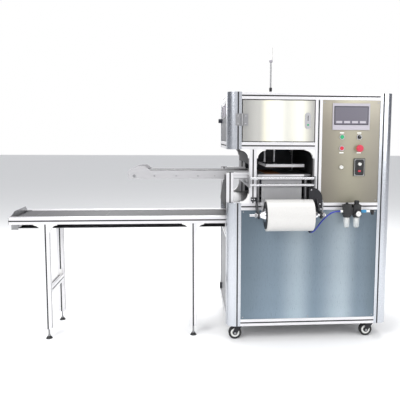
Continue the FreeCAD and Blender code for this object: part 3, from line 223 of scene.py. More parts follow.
@dataclass(frozen=True)
class PaintedLightSheet(Finish):
    """Bright sheet steel with painted light: soft bands of painted reflection across it, and painted light
    and shade along Z where given.
    """

    # Painted reflections: (place, colour) stops across the sheet
    reflection_bands: tuple[tuple[float, str], ...] = ()
    axis: int = 0
    span: tuple[float, float] = (0.0, 1.0)
    # Painted light and shade: (height in metres, factor) stops that lighten or darken the colour along Z
    painted_light_z: tuple[tuple[float, float], ...] = ()

    def ramp(self, tree: bpy.types.NodeTree, value: bpy.types.NodeSocket, low: float, high: float,
             stops: Iterable[tuple[float, tuple]]) -> bpy.types.NodeSocket:
        """Colours spread over a range of a value.

        Args:
            tree: the material's nodes.
            value: the output that the colours follow.
            low: value at the first colour's end.
            high: value at the last colour's end.
            stops: pairs of a place from 0 to 1 and a linear colour.

        Returns:
            The colour's output.
        """
        place = add_node(tree, "MapRange", {0: value, 1: low, 2: high})
        ramp = add_node(tree, "ValToRGB", {0: place.outputs[0]})
        ramp.color_ramp.interpolation = "EASE"
        for index, (position, colour) in enumerate(stops):
            items = ramp.color_ramp.elements
            item = items[index] if index < 2 else items.new(position)
            item.position, item.color = position, colour
        return ramp.outputs[0]

    def colour_output(self, tree: bpy.types.NodeTree, coords: bpy.types.Node) -> bpy.types.NodeSocket:
        """Colour ramp of painted reflection bands along the sheet, lightened or darkened along Z by painted
        light and shade where given.
        """
        split = add_node(tree, "SeparateXYZ", {0: coords.outputs["Object"]})
        stops = [(p, linear(c)) for p, c in self.reflection_bands]
        colour = self.ramp(tree, split.outputs[self.axis], *self.span, stops)
        # Painted light and shade: a factor along Z multiplies the colour
        if self.painted_light_z:
            low, high = self.painted_light_z[0][0], self.painted_light_z[-1][0]
            stops = [((z - low) / (high - low), (k, k, k, 1)) for z, k in self.painted_light_z]
            painted_light_ramp = self.ramp(tree, split.outputs[2], low, high, stops)
            painted_light_colour = add_node(tree, "VectorMath", {0: colour, 1: painted_light_ramp}, operation="MULTIPLY")
            colour = painted_light_colour.outputs[0]
        return colour


@dataclass(frozen=True)
class WoundFilm(Finish):
    """Film wound on a core: fine rings about the roll's axis."""

    centre: tuple[float, float] = (0.0, 0.0)
    ring_mm: float = 1.6
    shade: str = "#b4b3b2"

    def colour_output(self, tree: bpy.types.NodeTree, coords: bpy.types.Node) -> bpy.types.NodeSocket:
        """Rings by distance from the axis, over the plain colour."""
        moved = add_node(tree, "VectorMath", {0: coords.outputs["Object"], 1: (0, *self.centre)},
                         operation="SUBTRACT")
        flat = add_node(tree, "VectorMath", {0: moved.outputs[0], 1: (0, 1, 1)}, operation="MULTIPLY")
        far = add_node(tree, "VectorMath", {0: flat.outputs[0]}, operation="LENGTH")
        inputs = {"W": far.outputs[1], "Scale": 1000 / self.ring_mm, "Detail": 2.0}
        ring = add_node(tree, "TexNoise", inputs, noise_dimensions="1D")
        inputs = {0: ring.outputs[0], 6: linear(self.colour), 7: linear(self.shade)}
        mix = add_node(tree, "Mix", inputs, data_type="RGBA")
        return mix.outputs[2]


ALUMINIUM = Finish("anodised_aluminium", "#dddcde", 0.34, 0.55, grain=Grain.EVEN, grain_mm=0.6, vary=0.03)
POST = Finish("anodised_round_post", "#c3c6cc", 0.26, 0.9, grain=Grain.BRUSHED_Z, grain_mm=0.8, vary=0.03)
# Painted reflections: bright yellowish-white vertical bands across the door's grey steel
DOOR_STEEL_PAINTED_LIGHT = PaintedLightSheet("brushed_door_steel_painted_reflections", "#d8d7cf", 0.33, 0.45, grain=Grain.BRUSHED_Z,
                         grain_mm=0.7, vary=0.04,
                         reflection_bands=((0.0, "#9b9a97"), (0.22, "#b9b8b3"), (0.36, "#f6f3dc"), (0.46, "#fffef4"),
                                (0.62, "#d9d8cf"), (0.8, "#f1efe0"), (1.0, "#a9a8a4")),
                         span=(at(85, 0, 0).x, at(486, 0, 0).x))
# Painted reflection: a lighter band in the middle; painted light and shade: darker at the bottom, lighter
# towards the top
CONTROL_STEEL_PAINTED_LIGHT = PaintedLightSheet("brushed_control_steel_painted_light", "#8c8474", 0.36, 0.4, grain=Grain.BRUSHED_X,
                            grain_mm=0.7, vary=0.03,
                            reflection_bands=((0.0, "#8a8478"), (0.5, "#a5a08e"), (1.0, "#918c80")),
                            span=(at(531, 0, 0).x, at(860, 0, 0).x),
                            painted_light_z=((0.805, 0.68), (1.0, 0.8), (1.2, 0.92), (1.38, 1.25)))
# Painted reflections: pale bands on the bluish steel; painted glow: lighter towards the bottom
LOWER_STEEL_PAINTED_LIGHT = PaintedLightSheet("brushed_lower_steel_painted_light", "#63727e", 0.3, 0.45, grain=Grain.BRUSHED_Z,
                          grain_mm=0.7, vary=0.04,
                          reflection_bands=((0.0, "#5c6a75"), (0.25, "#6d7c88"), (0.42, "#8d9aa3"), (0.55, "#6b7a86"),
                                 (0.75, "#94a0a8"), (0.88, "#6a7883"), (1.0, "#5a6771")),
                          span=(at(80, 0, 0).x, at(860, 0, 0).x),
                          painted_light_z=((0.135, 1.25), (0.24, 1.1), (0.45, 0.95), (0.767, 0.9)))
SIDE_PLATE = Finish("anodised_side_plate", "#b9b8ba", 0.36, 0.6, grain=Grain.BRUSHED_X, grain_mm=0.8,
                    vary=0.04)
PLAIN_STEEL = Finish("machined_steel", "#9a9a9c", 0.34, 0.85, grain_mm=0.8, vary=0.06)
DARK_STEEL = Finish("blackened_steel", "#26262a", 0.4, 0.4, grain_mm=1.5, vary=0.1)
CHROME = Finish("polished_chrome", "#dcdcde", 0.12, 1.0, grain=Grain.NONE)
CAST = Finish("cast_light_coat", "#e2e1e0", 0.5, 0.0, grain_mm=1.0, relief_mm=0.06, vary=0.05)
CAP = Finish("slot_cover_rubber", "#141416", 0.6, grain_mm=1.0, relief_mm=0.03)
# Painted reflection: dark navy colour standing in for the dark surroundings that the steel side sheets
# reflect
NAVY_PAINTED_DARK_REFLECTION = Finish("navy_painted_dark_reflection", "#20232f", 0.42, 0.0, 0.15, grain_mm=1.4, relief_mm=0.05, vary=0.1)
LINING = Finish("matt_black_coat", "#17171a", 0.55, grain_mm=1.4, relief_mm=0.04, vary=0.1)
BLACK = Finish("black_moulding", "#161618", 0.45, grain_mm=0.8, relief_mm=0.03, vary=0.1)
GLOSS_BLACK = Finish("gloss_black_glass", "#3b3a42", 0.12, 0.0, 0.6, grain=Grain.NONE)
BEZEL_GREY = Finish("grey_moulding", "#aaa6ae", 0.42, grain_mm=0.6, relief_mm=0.02, vary=0.03)
WHITE = Finish("white_moulding", "#e6e6e2", 0.4, grain_mm=0.8, relief_mm=0.02, vary=0.03)
# Painted glow: a slight emission makes the green buttons shine though they hold no lamp
GREEN = Finish("green_button_painted_glow", "#1d9560", 0.3, 0.0, 0.4, grain_mm=1.0, vary=0.03, glow=0.1)
RED = Finish("red_button", "#c02238", 0.32, 0.0, 0.4, grain_mm=1.0, vary=0.03)
MUSHROOM = Finish("red_mushroom", "#bd2c45", 0.4, 0.0, 0.2, grain_mm=1.0, vary=0.03)
YELLOW = Finish("yellow_collar", "#d8b21e", 0.42, grain_mm=1.0, vary=0.03)
BLUE = Finish("blue_sleeve", "#1a7aa8", 0.35, 0.0, 0.2, grain_mm=1.0, vary=0.04)
HOSE = Finish("blue_tube", "#1b2a94", 0.3, 0.0, 0.3, grain_mm=2.0, vary=0.05)
BELT = Finish("woven_belt", "#37373a", 0.62, grain=Grain.EVEN, grain_mm=1.6, relief_mm=0.12, vary=0.16)
TREAD = Finish("rubber_tread", "#1b1b1d", 0.6, grain_mm=1.2, relief_mm=0.05, vary=0.1)
BOWL = Finish("clear_bowl", "#cfd2d2", 0.08, 0.0, 0.4, grain=Grain.NONE, alpha=0.5)
LAMP = Finish("milky_lamp_tube", "#e9e7e4", 0.3, 0.0, 0.4, grain=Grain.NONE, alpha=0.82)
FILM = Finish("clear_film", "#eceef0", 0.14, 0.0, 0.5, grain=Grain.WRINKLED, grain_mm=14, relief_mm=1.4,
              vary=0.1, alpha=0.42)
TAPE = Finish("sealing_tape", "#8a5a34", 0.55, grain_mm=0.8, relief_mm=0.05, vary=0.1)
INK = Finish("black_ink", "#1d1d1f", 0.6, grain=Grain.NONE)
SCREEN_GREY = Finish("lit_screen", "#5f5c66", 0.2, 0.0, 0.5, grain=Grain.NONE, glow=0.12)


class Piece:
    """Mesh put together from boxes, turned forms and strips."""

    def __init__(self) -> None:
        """An empty mesh."""
        self.bm = bmesh.new()

    def box(self, low: Point, high: Point, turn: Matrix | None = None) -> "Piece":
        """Box between two corners in the row frame.

        Args:
            low: lowest corner.
            high: highest corner.
            turn: rotation about the box's middle, if any.

        Returns:
            The piece itself.
        """
        low, high = Vector(low), Vector(high)
        size, middle = high - low, (low + high) / 2
        made = bmesh.ops.create_cube(self.bm, size=1.0)["verts"]
        for v in made:
            offset = Vector((v.co.x * size.x, v.co.y * size.y, v.co.z * size.z))
            v.co = (turn @ offset if turn else offset) + middle
        return self

    def turned(self, start: Point, way: Point, profile: Sequence[tuple[float, float]],
               sides: int = 32) -> "Piece":
        """Turned form.

        Args:
            start: point on the axis where the profile's distance is 0.
            way: direction of the axis.
            profile: (distance along the axis, radius) pairs in millimetres.
            sides: number of facets round the axis.

        Returns:
            The piece itself.
        """
        start, axis = Vector(start), Vector(way).normalized()
        side = axis.orthogonal().normalized()
        other = axis.cross(side)
        rings = []
        for along, radius in profile:
            centre = start + axis * along / 1000
            if radius <= 0:
                rings.append([self.bm.verts.new(centre)])
                continue
            steps = [2 * math.pi * k / sides for k in range(sides)]
            spokes = [side * math.cos(a) + other * math.sin(a) for a in steps]
            rings.append([self.bm.verts.new(centre + spoke * radius / 1000) for spoke in spokes])
        for a, b in zip(rings, rings[1:]):
            for k in range(sides):
                n = (k + 1) % sides
                quad = [a[k % len(a)], a[n % len(a)], b[n % len(b)], b[k % len(b)]]
                unique = list(dict.fromkeys(quad))
                if len(unique) > 2:
                    self.bm.faces.new(unique)
        return self

    def plate(self, centre: Vector, half: Point, turn: Matrix) -> "Piece":
        """Turned box about its middle.

        Args:
            centre: middle of the box in the row frame.
            half: half of each side in millimetres.
            turn: rotation about the middle.

        Returns:
            The piece itself.
        """
        half = Vector(half) / 1000
        return self.box(centre - half, centre + half, turn)

    def screw(self, head: Point, way: Point, radius: float = 4.0, height: float = 3.5,
              sides: int = 20) -> "Piece":
        """Socket-head screw that stands on a surface.

        Args:
            head: middle of the head's underside.
            way: direction that the head faces.
            radius: the head's, in millimetres.
            height: the head's, in millimetres.
            sides: number of facets round it.

        Returns:
            The piece itself.
        """
        profile = [(0, 0), (0, radius), (height * 0.8, radius), (height, radius * 0.85),
                   (height, radius * 0.5), (height * 0.45, radius * 0.45), (height * 0.45, 0)]
        return self.turned(head, way, profile, sides)

    def nut(self, start: Point, way: Point, radius: float, height: float) -> "Piece":
        """Hexagon nut.

        Args:
            start: middle of its underside.
            way: direction of its axis.
            radius: over its corners, in millimetres.
            height: along its axis, in millimetres.

        Returns:
            The piece itself.
        """
        return self.turned(start, way, [(0, 0), (0, radius), (height, radius), (height, 0)], 6)

    def done(self, name: str, finish: Finish, body: str = "cabinet", slot: str | None = None,
             replaces: Sequence[str] = (), bevel: float = 0.0, angle: float = 35.0) -> bpy.types.Object:
        """The finished object, riding on its body.

        Args:
            name: the object's name.
            finish: its finish.
            body: the CAD body it moves with.
            slot: the record's material slot.
            replaces: CAD nodes that it stands for.
            bevel: width of the edge bevel in millimetres.
            angle: edges sharper than this stay sharp, in degrees.

        Returns:
            The object.
        """
        bmesh.ops.recalc_face_normals(self.bm, faces=self.bm.faces)
        if bevel:
            steep = math.radians(50)
            edges = [e for e in self.bm.edges if len(e.link_faces) == 2 and e.calc_face_angle() > steep]
            bmesh.ops.bevel(self.bm, geom=edges, offset=bevel / 1000, segments=2, affect="EDGES", profile=0.6)
        for face in self.bm.faces:
            face.smooth = True
        for edge in self.bm.edges:
            edge.smooth = len(edge.link_faces) == 2 and edge.calc_face_angle() < math.radians(angle)
        mesh = bpy.data.meshes.new(name)
        self.bm.to_mesh(mesh)
        self.bm.free()
        return place(bpy.data.objects.new(name, mesh), finish, body, slot, replaces)


def place(obj: bpy.types.Object, finish: Finish, body: str, slot: str | None,
          replaces: Sequence[str] = ()) -> bpy.types.Object:
    """Link an object, dress it and let it ride on a body.

    Args:
        obj: the object.
        finish: its finish.
        body: the CAD body it moves with.
        slot: the record's material slot, if any; not used.
        replaces: CAD nodes that it stands for.

    Returns:
        The object.
    """
    bpy.context.scene.collection.objects.link(obj)
    obj.data.materials.append(finish.make())
    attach(obj, body)
    if replaces:
        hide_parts(*replaces)
    LOG.info("piece %s on %s", obj.name, body)
    return obj


def dress(finish: Finish, *nodes: str) -> None:
    """Give CAD nodes a finish.

    Args:
        finish: the finish.
        nodes: names of the nodes.
    """
    for node in nodes:
        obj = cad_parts[node]
        if not obj.material_slots:
            obj.data.materials.append(None)
        for item in obj.material_slots:
            item.material = finish.make()
        LOG.info("node %s in %s", node, finish.name)


X, Y, Z = Vector((1, 0, 0)), Vector((0, 1, 0)), Vector((0, 0, 1))


def along(axis: str, place_: float, cross: tuple[float, float]) -> tuple[float, float, float]:
    """Point at a place along an axis.

    Args:
        axis: "x", "y" or "z".
        place_: coordinate along the axis.
        cross: the two other coordinates, in order.

    Returns:
        The three coordinates.
    """
    index = "xyz".index(axis)
    return (*cross[:index], place_, *cross[index:])


@dataclass
class Frame:
    """Slotted bars, posts, brackets and their slot covers and screws."""

    slot: float = 7.8
    sunk: float = 1.0
    thick: float = 1.4
    cap: float = 2.5
    cap_edge: float = 0.5
    leg_base: float = 60.0
    stand_top: float = 974.0
    stand_rows: tuple[float, float] = (60.0, 600.0)
    bracket_rows: tuple[float, float] = (20.0, 637.0)
    screw_near: float = 7.2
    screw_far: float = 30.0
    bars: list[tuple] = field(default_factory=list)

    def lay_out(self) -> None:
        """List the bars as (axis, first centre, second centre, start, end)."""
        low, deck, hood, top = BASE + HALF, DECK - HALF, HOOD_BASE + HALF, HEIGHT - HALF
        rail, under = RAIL_TOP - HALF, RAIL_TOP - BAR
        for y in (HALF, DEPTH - HALF):
            self.bars += [("x", y, z, CORNER, WIDTH - CORNER) for z in (low, deck, top)]
            self.bars += [("x", y, hood, CORNER, MIDDLE_POST - HALF)]
            self.bars += [("z", HOOD_POST, y, DECK, HOOD_BASE), ("z", MIDDLE_POST, y, DECK, HEIGHT - BAR)]
        for x, heights in ((HALF, (low, SIDE_RAIL, deck, hood, top)), (WIDTH - HALF, (low, deck, top))):
            self.bars += [("y", x, z, CORNER, DEPTH - CORNER) for z in heights]
        self.bars += [("x", y, rail, CONVEYOR_LEFT, CONVEYOR_RIGHT) for y in (RAIL_FRONT, RAIL_BACK)]
        for x in (LEG_LEFT, LEG_RIGHT):
            self.bars += [("z", x, y, self.leg_base, under) for y in (RAIL_FRONT, RAIL_BACK)]
        self.bars += [("y", x, BRACE_Z, RAIL_FRONT + HALF, RAIL_BACK - HALF) for x in (LEG_LEFT, LEG_RIGHT)]
        self.bars += [("z", HALF, y, DECK, self.stand_top) for y in self.stand_rows]

    def strips(self) -> None:
        """Black covers in the slots of bars and corner posts."""
        covers, wide = Piece(), self.slot / 2
        deep, shallow = HALF - self.sunk - self.thick, HALF - self.sunk
        for axis, a, b, start, end in self.bars:
            for side in (-1, 1):
                near, far = sorted((side * deep, side * shallow))
                for low, high in (((near, -wide), (far, wide)), ((-wide, near), (wide, far))):
                    p, q = (a + low[0], b + low[1]), (a + high[0], b + high[1])
                    covers.box(at(*along(axis, start, p)), at(*along(axis, end, q)))
        self.post_strips(covers)
        covers.done("slot_covers", CAP, slot="black_plastic")

    def post_strips(self, covers: Piece) -> None:
        """Covers in the two slots of each corner post.

        Args:
            covers: the piece that takes them.
        """
        slot = (CORNER - HALF - self.slot / 2, CORNER - HALF + self.slot / 2)
        sheet = (self.sunk, self.sunk + self.thick)
        left, right = ((BASE, DECK), (HOOD_BASE, HEIGHT)), ((BASE, HEIGHT),)
        for x, sx, heights in ((0, 1, left), (WIDTH, -1, right)):
            for y, sy in ((0, 1), (DEPTH, -1)):
                for low, high in heights:
                    for across, inward in ((slot, sheet), (sheet, slot)):
                        a, b = sorted(x + sx * k for k in across), sorted(y + sy * k for k in inward)
                        covers.box(at(a[0], b[0], low), at(a[1], b[1], high))

    def end_caps(self) -> None:
        """Black plastic caps on the bars' open ends."""
        caps, half, rail = Piece(), HALF - self.cap_edge, RAIL_TOP - HALF
        for y in (RAIL_FRONT, RAIL_BACK):
            caps.box(at(CONVEYOR_LEFT - self.cap, y - half, rail - half),
                     at(CONVEYOR_LEFT, y + half, rail + half))
        for y in self.stand_rows:
            caps.box(at(HALF - half, y - half, self.stand_top),
                     at(HALF + half, y + half, self.stand_top + self.cap))
        caps.done("bar_end_caps", BLACK, slot="black_plastic", bevel=0.8)

    def screws(self) -> None:
        """Socket screws of the cast brackets."""
        screws, near, far = Piece(), self.screw_near, self.screw_far
        left, right, middle = HOOD_POST - HALF, HOOD_POST + HALF, MIDDLE_POST - HALF
        corners = ((left, HOOD_BASE, -1, -1), (right, HOOD_BASE, 1, -1), (middle, HOOD_BASE, -1, -1),
                   (left, DECK, -1, 1))
        for y in self.bracket_rows:
            for x, z, sx, sz in corners:
                screws.screw(at(x + sx * far, y, z + sz * near), (0, 0, sz), 4.2, 3.2)
                screws.screw(at(x + sx * near, y, z + sz * far), (sx, 0, 0), 4.2, 3.2)
        under = RAIL_TOP - BAR
        for x in (LEG_LEFT, LEG_RIGHT):
            for y in (RAIL_FRONT, RAIL_BACK):
                for sx in (-1, 1):
                    screws.screw(at(x + sx * 47, y, under - near), (0, 0, -1), 4.0, 3.0)
                    screws.screw(at(x + sx * (HALF + near), y, under - 25), (sx, 0, 0), 4.0, 3.0)
        screws.done("bracket_screws", PLAIN_STEEL, slot="plain_steel")

    def build(self) -> None:
        """Dress the frame's nodes and add its pieces."""
        self.lay_out()
        dress(ALUMINIUM, "inner_posts", "long_rails", "side_rails", "conveyor_legs", "lower_conveyor_rails",
              "conveyor_stand")
        dress(POST, "corner_posts")
        dress(CAST, "frame_brackets")
        dress(PLAIN_STEEL, "guide_plates")
        self.strips()
        self.end_caps()
        self.screws()


@dataclass
class Panels:
    """Sheet panels with their screws, the hood's side vent and the door's lock."""

    vent_y: tuple[float, float] = (150.0, 500.0)
    vent_z: tuple[float, float] = (1292.0, 1362.0)
    pitch: float = 14.0

    def vent(self) -> None:
        """Criss-cross of thin wires over the vent in the hood's side, in a slim rim."""
        wires = Piece()
        y0, y1, z0, z1 = *self.vent_y, *self.vent_z
        tall = z1 - z0
        for sign in (-1, 1):
            turn = Matrix.Rotation(sign * math.pi / 4, 3, "X")
            start = y0 - tall
            while start < y1:
                low, high = max(start, y0), min(start + tall, y1)
                if high - low > 3:
                    middle, length = (low + high) / 2, (high - low) * math.sqrt(2)
                    rise = (middle - start) if sign > 0 else tall - (middle - start)
                    centre = at(2.2, middle, z0 + rise)
                    wires.plate(centre, (0.5, length / 2, 0.6), turn)
                start += self.pitch
        wires.done("hood_vent_wires", BEZEL_GREY, slot="plain_steel")
        rim = Piece()
        for a, b in (((y0 - 5, z0 - 5), (y1 + 5, z0)), ((y0 - 5, z1), (y1 + 5, z1 + 5)),
                     ((y0 - 5, z0), (y0, z1)), ((y1, z0), (y1 + 5, z1))):
            rim.box(at(1.2, *a), at(3, *b))
        rim.done("hood_vent_rim", DARK_STEEL, slot="black_metal")

    def panel_screws(self) -> None:
        """Button-head screws at the panels' corners."""
        thirds, sides = (92, WIDTH / 2, 848), (95, 565)
        rows = ((-Y, FACE, (542, 848), (1366, 819)), (-Y, FACE, thirds, (147, 755)),
                (-X, FACE, sides, (147, 580)), (-X, FACE, sides, (1157, 1368)),
                (X, WIDTH - FACE, sides, (147, 755, 817, 1368)), (Y, DEPTH - FACE, thirds, (147, 755)))
        screws = Piece()
        for way, face, places, heights in rows:
            for across in places:
                for z in heights:
                    spot = at(face, across, z) if way.x else at(across, face, z)
                    screws.screw(spot, way, 3.6, 2.2)
        screws.done("panel_screws", PLAIN_STEEL, slot="plain_steel")

    def hinge_screws(self) -> None:
        """Screws of the hood hinge, on both leaves."""
        fixed, moving = Piece(), Piece()
        for z in (1247, 1289):
            fixed.screw(at(59, -3, z), -Y, 3.4, 1.8)
            moving.screw(at(101, -2, z), -Y, 3.4, 1.8)
        fixed.done("hinge_screws_fixed", CHROME, slot="plain_steel")
        moving.done("hinge_screws_door", CHROME, body="hood_door", slot="plain_steel")

    def lock(self) -> None:
        """Green release button and the lever's slot on the lock."""
        low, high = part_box("door_lock")
        x = (low[0] + high[0]) / 2
        button = Vector((x, low[1], low[2] + 0.0225))
        Piece().turned(button, -Y, [(0, 0), (0, 5.2), (0.5, 5.4), (1.0, 5.0), (1.0, 0)]).done(
            "lock_button", GREEN, body="hood_door", slot="green_plastic")
        groove = Piece().box((x - 0.002, low[1] + 0.0025, high[2] - 0.045),
                             (x + 0.002, low[1] + 0.0032, high[2] - 0.016))
        groove.done("lock_slot", INK, body="hood_door", slot="black_plastic")

    def build(self) -> None:
        """Dress the panels' nodes and add their pieces."""
        dress(LOWER_STEEL_PAINTED_LIGHT, "lower_front_panel")
        dress(CONTROL_STEEL_PAINTED_LIGHT, "control_panel")
        dress(NAVY_PAINTED_DARK_REFLECTION, "left_panel", "outer_panels", "hood_side_panel")
        dress(PLAIN_STEEL, "floor_plates", "hinge_fixed", "hinge_leaf")
        dress(LINING, "work_zone_walls")
        dress(DOOR_STEEL_PAINTED_LIGHT, "hood_door")
        dress(CHROME, "door_lock")
        self.vent()
        self.panel_screws()
        self.hinge_screws()
        self.lock()


@dataclass
class Controls:
    """Touch screen, buttons, knobs and the speed controller."""

    screen: tuple[float, float, float, float] = (596.0, 792.0, 1243.0, 1347.0)
    legend: tuple[float, float] = (12.0, 3.0)

    def display(self) -> None:
        """Display glass with a lit area and plain fields."""
        x0, x1, z0, z1 = self.screen
        glass = Piece().box(at(x0, -2.2, z0), at(x1, -1.8, z1))
        glass.done("display_glass", GLOSS_BLACK, slot="black_plastic")
        Piece().box(at(x0 + 5, -2.5, z0 + 5), at(x1 - 5, -2.25, z1 - 5)).done("display_picture", SCREEN_GREY,
                                                                              slot="black_plastic")
        bars = Piece()
        for k in range(4):
            bars.box(at(x0 + 12 + 45 * k, -2.8, z0 + 10), at(x0 + 46 + 45 * k, -2.55, z0 + 22))
        bars.done("display_fields", BEZEL_GREY, slot="grey_plastic")

    def labels(self) -> None:
        """Blank legend plates by the round controls, and the knobs' scales."""
        plates, ticks, (wide, tall) = Piece(), Piece(), self.legend
        for x in (LEFT_COLUMN, RIGHT_COLUMN):
            for z in (BUTTON_ROW + 23, STOP_ROW - 25):
                plates.box(at(x - wide, 2.2, z - tall), at(x + wide, FACE, z + tall))
        plates.done("legend_plates", WHITE, slot="white_plastic", bevel=0.3)
        for x, y, z, r, step in ((LEFT_COLUMN, 2.6, KNOB_ROW, 15, 30), (SPEED_X, -5.3, SPEED_Z, 13.5, 28)):
            for k in range(-5, 6):
                a = math.radians(k * step)
                centre = at(x + math.sin(a) * r, y, z + math.cos(a) * r)
                ticks.plate(centre, (0.5, 0.35, 1.6), Matrix.Rotation(a, 3, "Y"))
        ticks.done("knob_scales", INK, slot="black_plastic")

    def speed_face(self) -> None:
        """White line frame, rocker and screws on the speed controller."""
        lines = Piece()
        for a, b in (((719, 959.5), (775, 960.5)), ((719, 1051.5), (775, 1052.5)), ((719, 960), (720, 1052)),
                     ((774, 960), (775, 1052))):
            lines.box(at(a[0], -5.2, a[1]), at(b[0], -4.9, b[1]))
        lines.done("speed_face_lines", WHITE, slot="white_plastic")
        screws = Piece()
        for x in (723, 771):
            for z in (1047, 965):
                screws.screw(at(x, -5, z), -Y, 2.4, 1.4)
        screws.done("speed_face_screws", PLAIN_STEEL, slot="plain_steel")
        pad = Piece().box(at(739.5, -8.9, 981), at(754.5, -8, 990))
        pad.done("rocker_pad", RED, slot="red_plastic", bevel=0.3)

    def knobs(self) -> None:
        """Caps, collars and pointer lines on what turns or is pressed."""
        x = RIGHT_COLUMN
        Piece().box(at(x - 0.7, -13.6, BUTTON_ROW), at(x + 0.7, -13, BUTTON_ROW + 9)).done(
            "selector_line", WHITE, body="selector_knob", slot="white_plastic")
        knobs = (("timer", LEFT_COLUMN, KNOB_ROW, -14, 8.5), ("speed", SPEED_X, SPEED_Z, -19, 7.6))
        for name, x, z, y, r in knobs:
            Piece().box(at(x - 0.6, y - 0.4, z), at(x + 0.6, y, z + r - 1)).done(
                name + "_pointer", INK, body=name + "_knob", slot="black_plastic")
            outer, inner = r * 0.55, r * 0.48
            Piece().turned(at(x, y, z), -Y, [(0, outer), (0.25, outer), (0.25, inner), (0, inner)], 40).done(
                name + "_ring", INK, body=name + "_knob", slot="black_plastic")
        collar = Piece().turned(at(RIGHT_COLUMN, 0, STOP_ROW), -Y,
                                [(-1, 15.2), (3.2, 17.5), (4, 17.2), (4, 12), (0, 12)], 48)
        collar.done("stop_collar", YELLOW, slot="white_plastic")

    def build(self) -> None:
        """Dress the controls' nodes and add their pieces."""
        dress(BEZEL_GREY, "touch_screen")
        dress(CHROME, "button_bezels")
        dress(GREEN, "start_button")
        dress(RED, "stop_button")
        dress(MUSHROOM, "emergency_stop")
        dress(BLACK, "selector_knob", "speed_controller")
        dress(WHITE, "timer_knob", "speed_knob")
        self.display()
        self.labels()
        self.speed_face()
        self.knobs()


@dataclass
class FilmPath:
    """Film roll on its arms, guide rollers and the film between them."""

    left: float = 190.0
    right: float = 415.0
    columns: int = 60
    rows: int = 56
    ripple: float = 1.0
    gap: float = 0.8
    table_edge: float = 58.0

    def route(self) -> list[Vector]:
        """Side view of the film from the roll to the table.

        Returns:
            Points (0, y, z) in millimetres.
        """
        def on_circle(y: float, z: float, radius: float, angle: float) -> Vector:
            """Point of a circle about an axis along X."""
            return Vector((0, y + math.cos(angle) * radius, z + math.sin(angle) * radius))

        away = math.hypot(GUIDE_Y - ROLL_Y, GUIDE_LOWER_Z - ROLL_Z)
        slant = math.atan2(GUIDE_LOWER_Z - ROLL_Z, GUIDE_Y - ROLL_Y) - math.acos((ROLL_R - GUIDE_R) / away)
        radius = GUIDE_R + self.gap
        points = [on_circle(ROLL_Y, ROLL_Z, ROLL_R + self.gap, slant)]
        points += [on_circle(GUIDE_Y, GUIDE_LOWER_Z, radius, a) for a in (slant, slant / 2, 0.0)]
        points += [on_circle(GUIDE_Y, GUIDE_UPPER_Z, radius, a) for a in (0.0, math.pi / 4, math.pi / 2)]
        return points + [Vector((0, self.table_edge, GUIDE_UPPER_Z + radius))]

    def web(self) -> None:
        """The clear film, with shallow ripples between its supports."""
        route = self.route()
        lengths = [(b - a).length for a, b in zip(route, route[1:])]
        total = sum(lengths)
        bm = bmesh.new()
        grid = []
        for i in range(self.rows + 1):
            target, k = total * i / self.rows, 0
            while k < len(lengths) - 1 and target > lengths[k]:
                target -= lengths[k]
                k += 1
            share = min(1.0, target / lengths[k])
            here = route[k].lerp(route[k + 1], share)
            along = (route[k + 1] - route[k]).normalized()
            out = Vector((0, -along.z, along.y))
            swell = self.ripple * math.sin(math.pi * share) if lengths[k] > 30 else 0.0
            row = []
            for j in range(self.columns + 1):
                x = self.left + (self.right - self.left) * j / self.columns
                wave = math.sin(x * 0.11 + share * 3) * 0.5 + math.sin(x * 0.31 - share * 5) * 0.3
                p = here + out * swell * wave
                row.append(bm.verts.new(at(x, p.y, p.z)))
            grid.append(row)
        for a, b in zip(grid, grid[1:]):
            for j in range(self.columns):
                bm.faces.new((a[j], a[j + 1], b[j + 1], b[j])).smooth = True
        mesh = bpy.data.meshes.new("film_sheet")
        bm.to_mesh(mesh)
        bm.free()
        sheet = place(bpy.data.objects.new("film_sheet", mesh), FILM, "cabinet", "clear_film", ("film_web",))

    def collars(self) -> None:
        """Set collars and screws on the roll's shaft, and screws of its arms."""
        collars = Piece()
        for x in (144, 516):
            collars.turned(at(x, ROLL_Y, ROLL_Z), X, [(0, 7.2), (0, 14), (10, 14), (10, 7.2)], 36)
        collars.done("shaft_collars", PLAIN_STEEL, body="film_roll", slot="plain_steel")
        screws = Piece()
        for x, z in ((474, 880), (474, 800), (524, 800)):
            screws.screw(at(x, -8, z), -Y, 4.2, 3.4)
        for x in (140, 152):
            screws.screw(at(x, -8, 827), -Y, 3.8, 3.0)
        for z in (905, 950):
            screws.screw(at(117, 12, z), -X, 3.4, 2.4)
        screws.done("arm_screws", CHROME, slot="plain_steel")
        edge = Piece().box(at(538, -7, 740), at(545, 0, 812))
        edge.done("arm_edge_strip", PLAIN_STEEL, slot="plain_steel", bevel=0.5)

    def build(self) -> None:
        """Dress the film path's nodes and add its pieces."""
        low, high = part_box("film_roll")
        middle = ((low[1] + high[1]) / 2, (low[2] + high[2]) / 2)
        wound = WoundFilm("wound_film", "#dcdad6", 0.3, 0.0, 0.3, Grain.EVEN, 3.0, 0.05, 0.05, centre=middle)
        dress(wound, "film_roll")
        dress(CHROME, "guide_roller_upper", "guide_roller_lower", "roll_shaft")
        dress(BLACK, "roll_flanges")
        dress(DARK_STEEL, "roll_arms")
        self.web()
        self.collars()


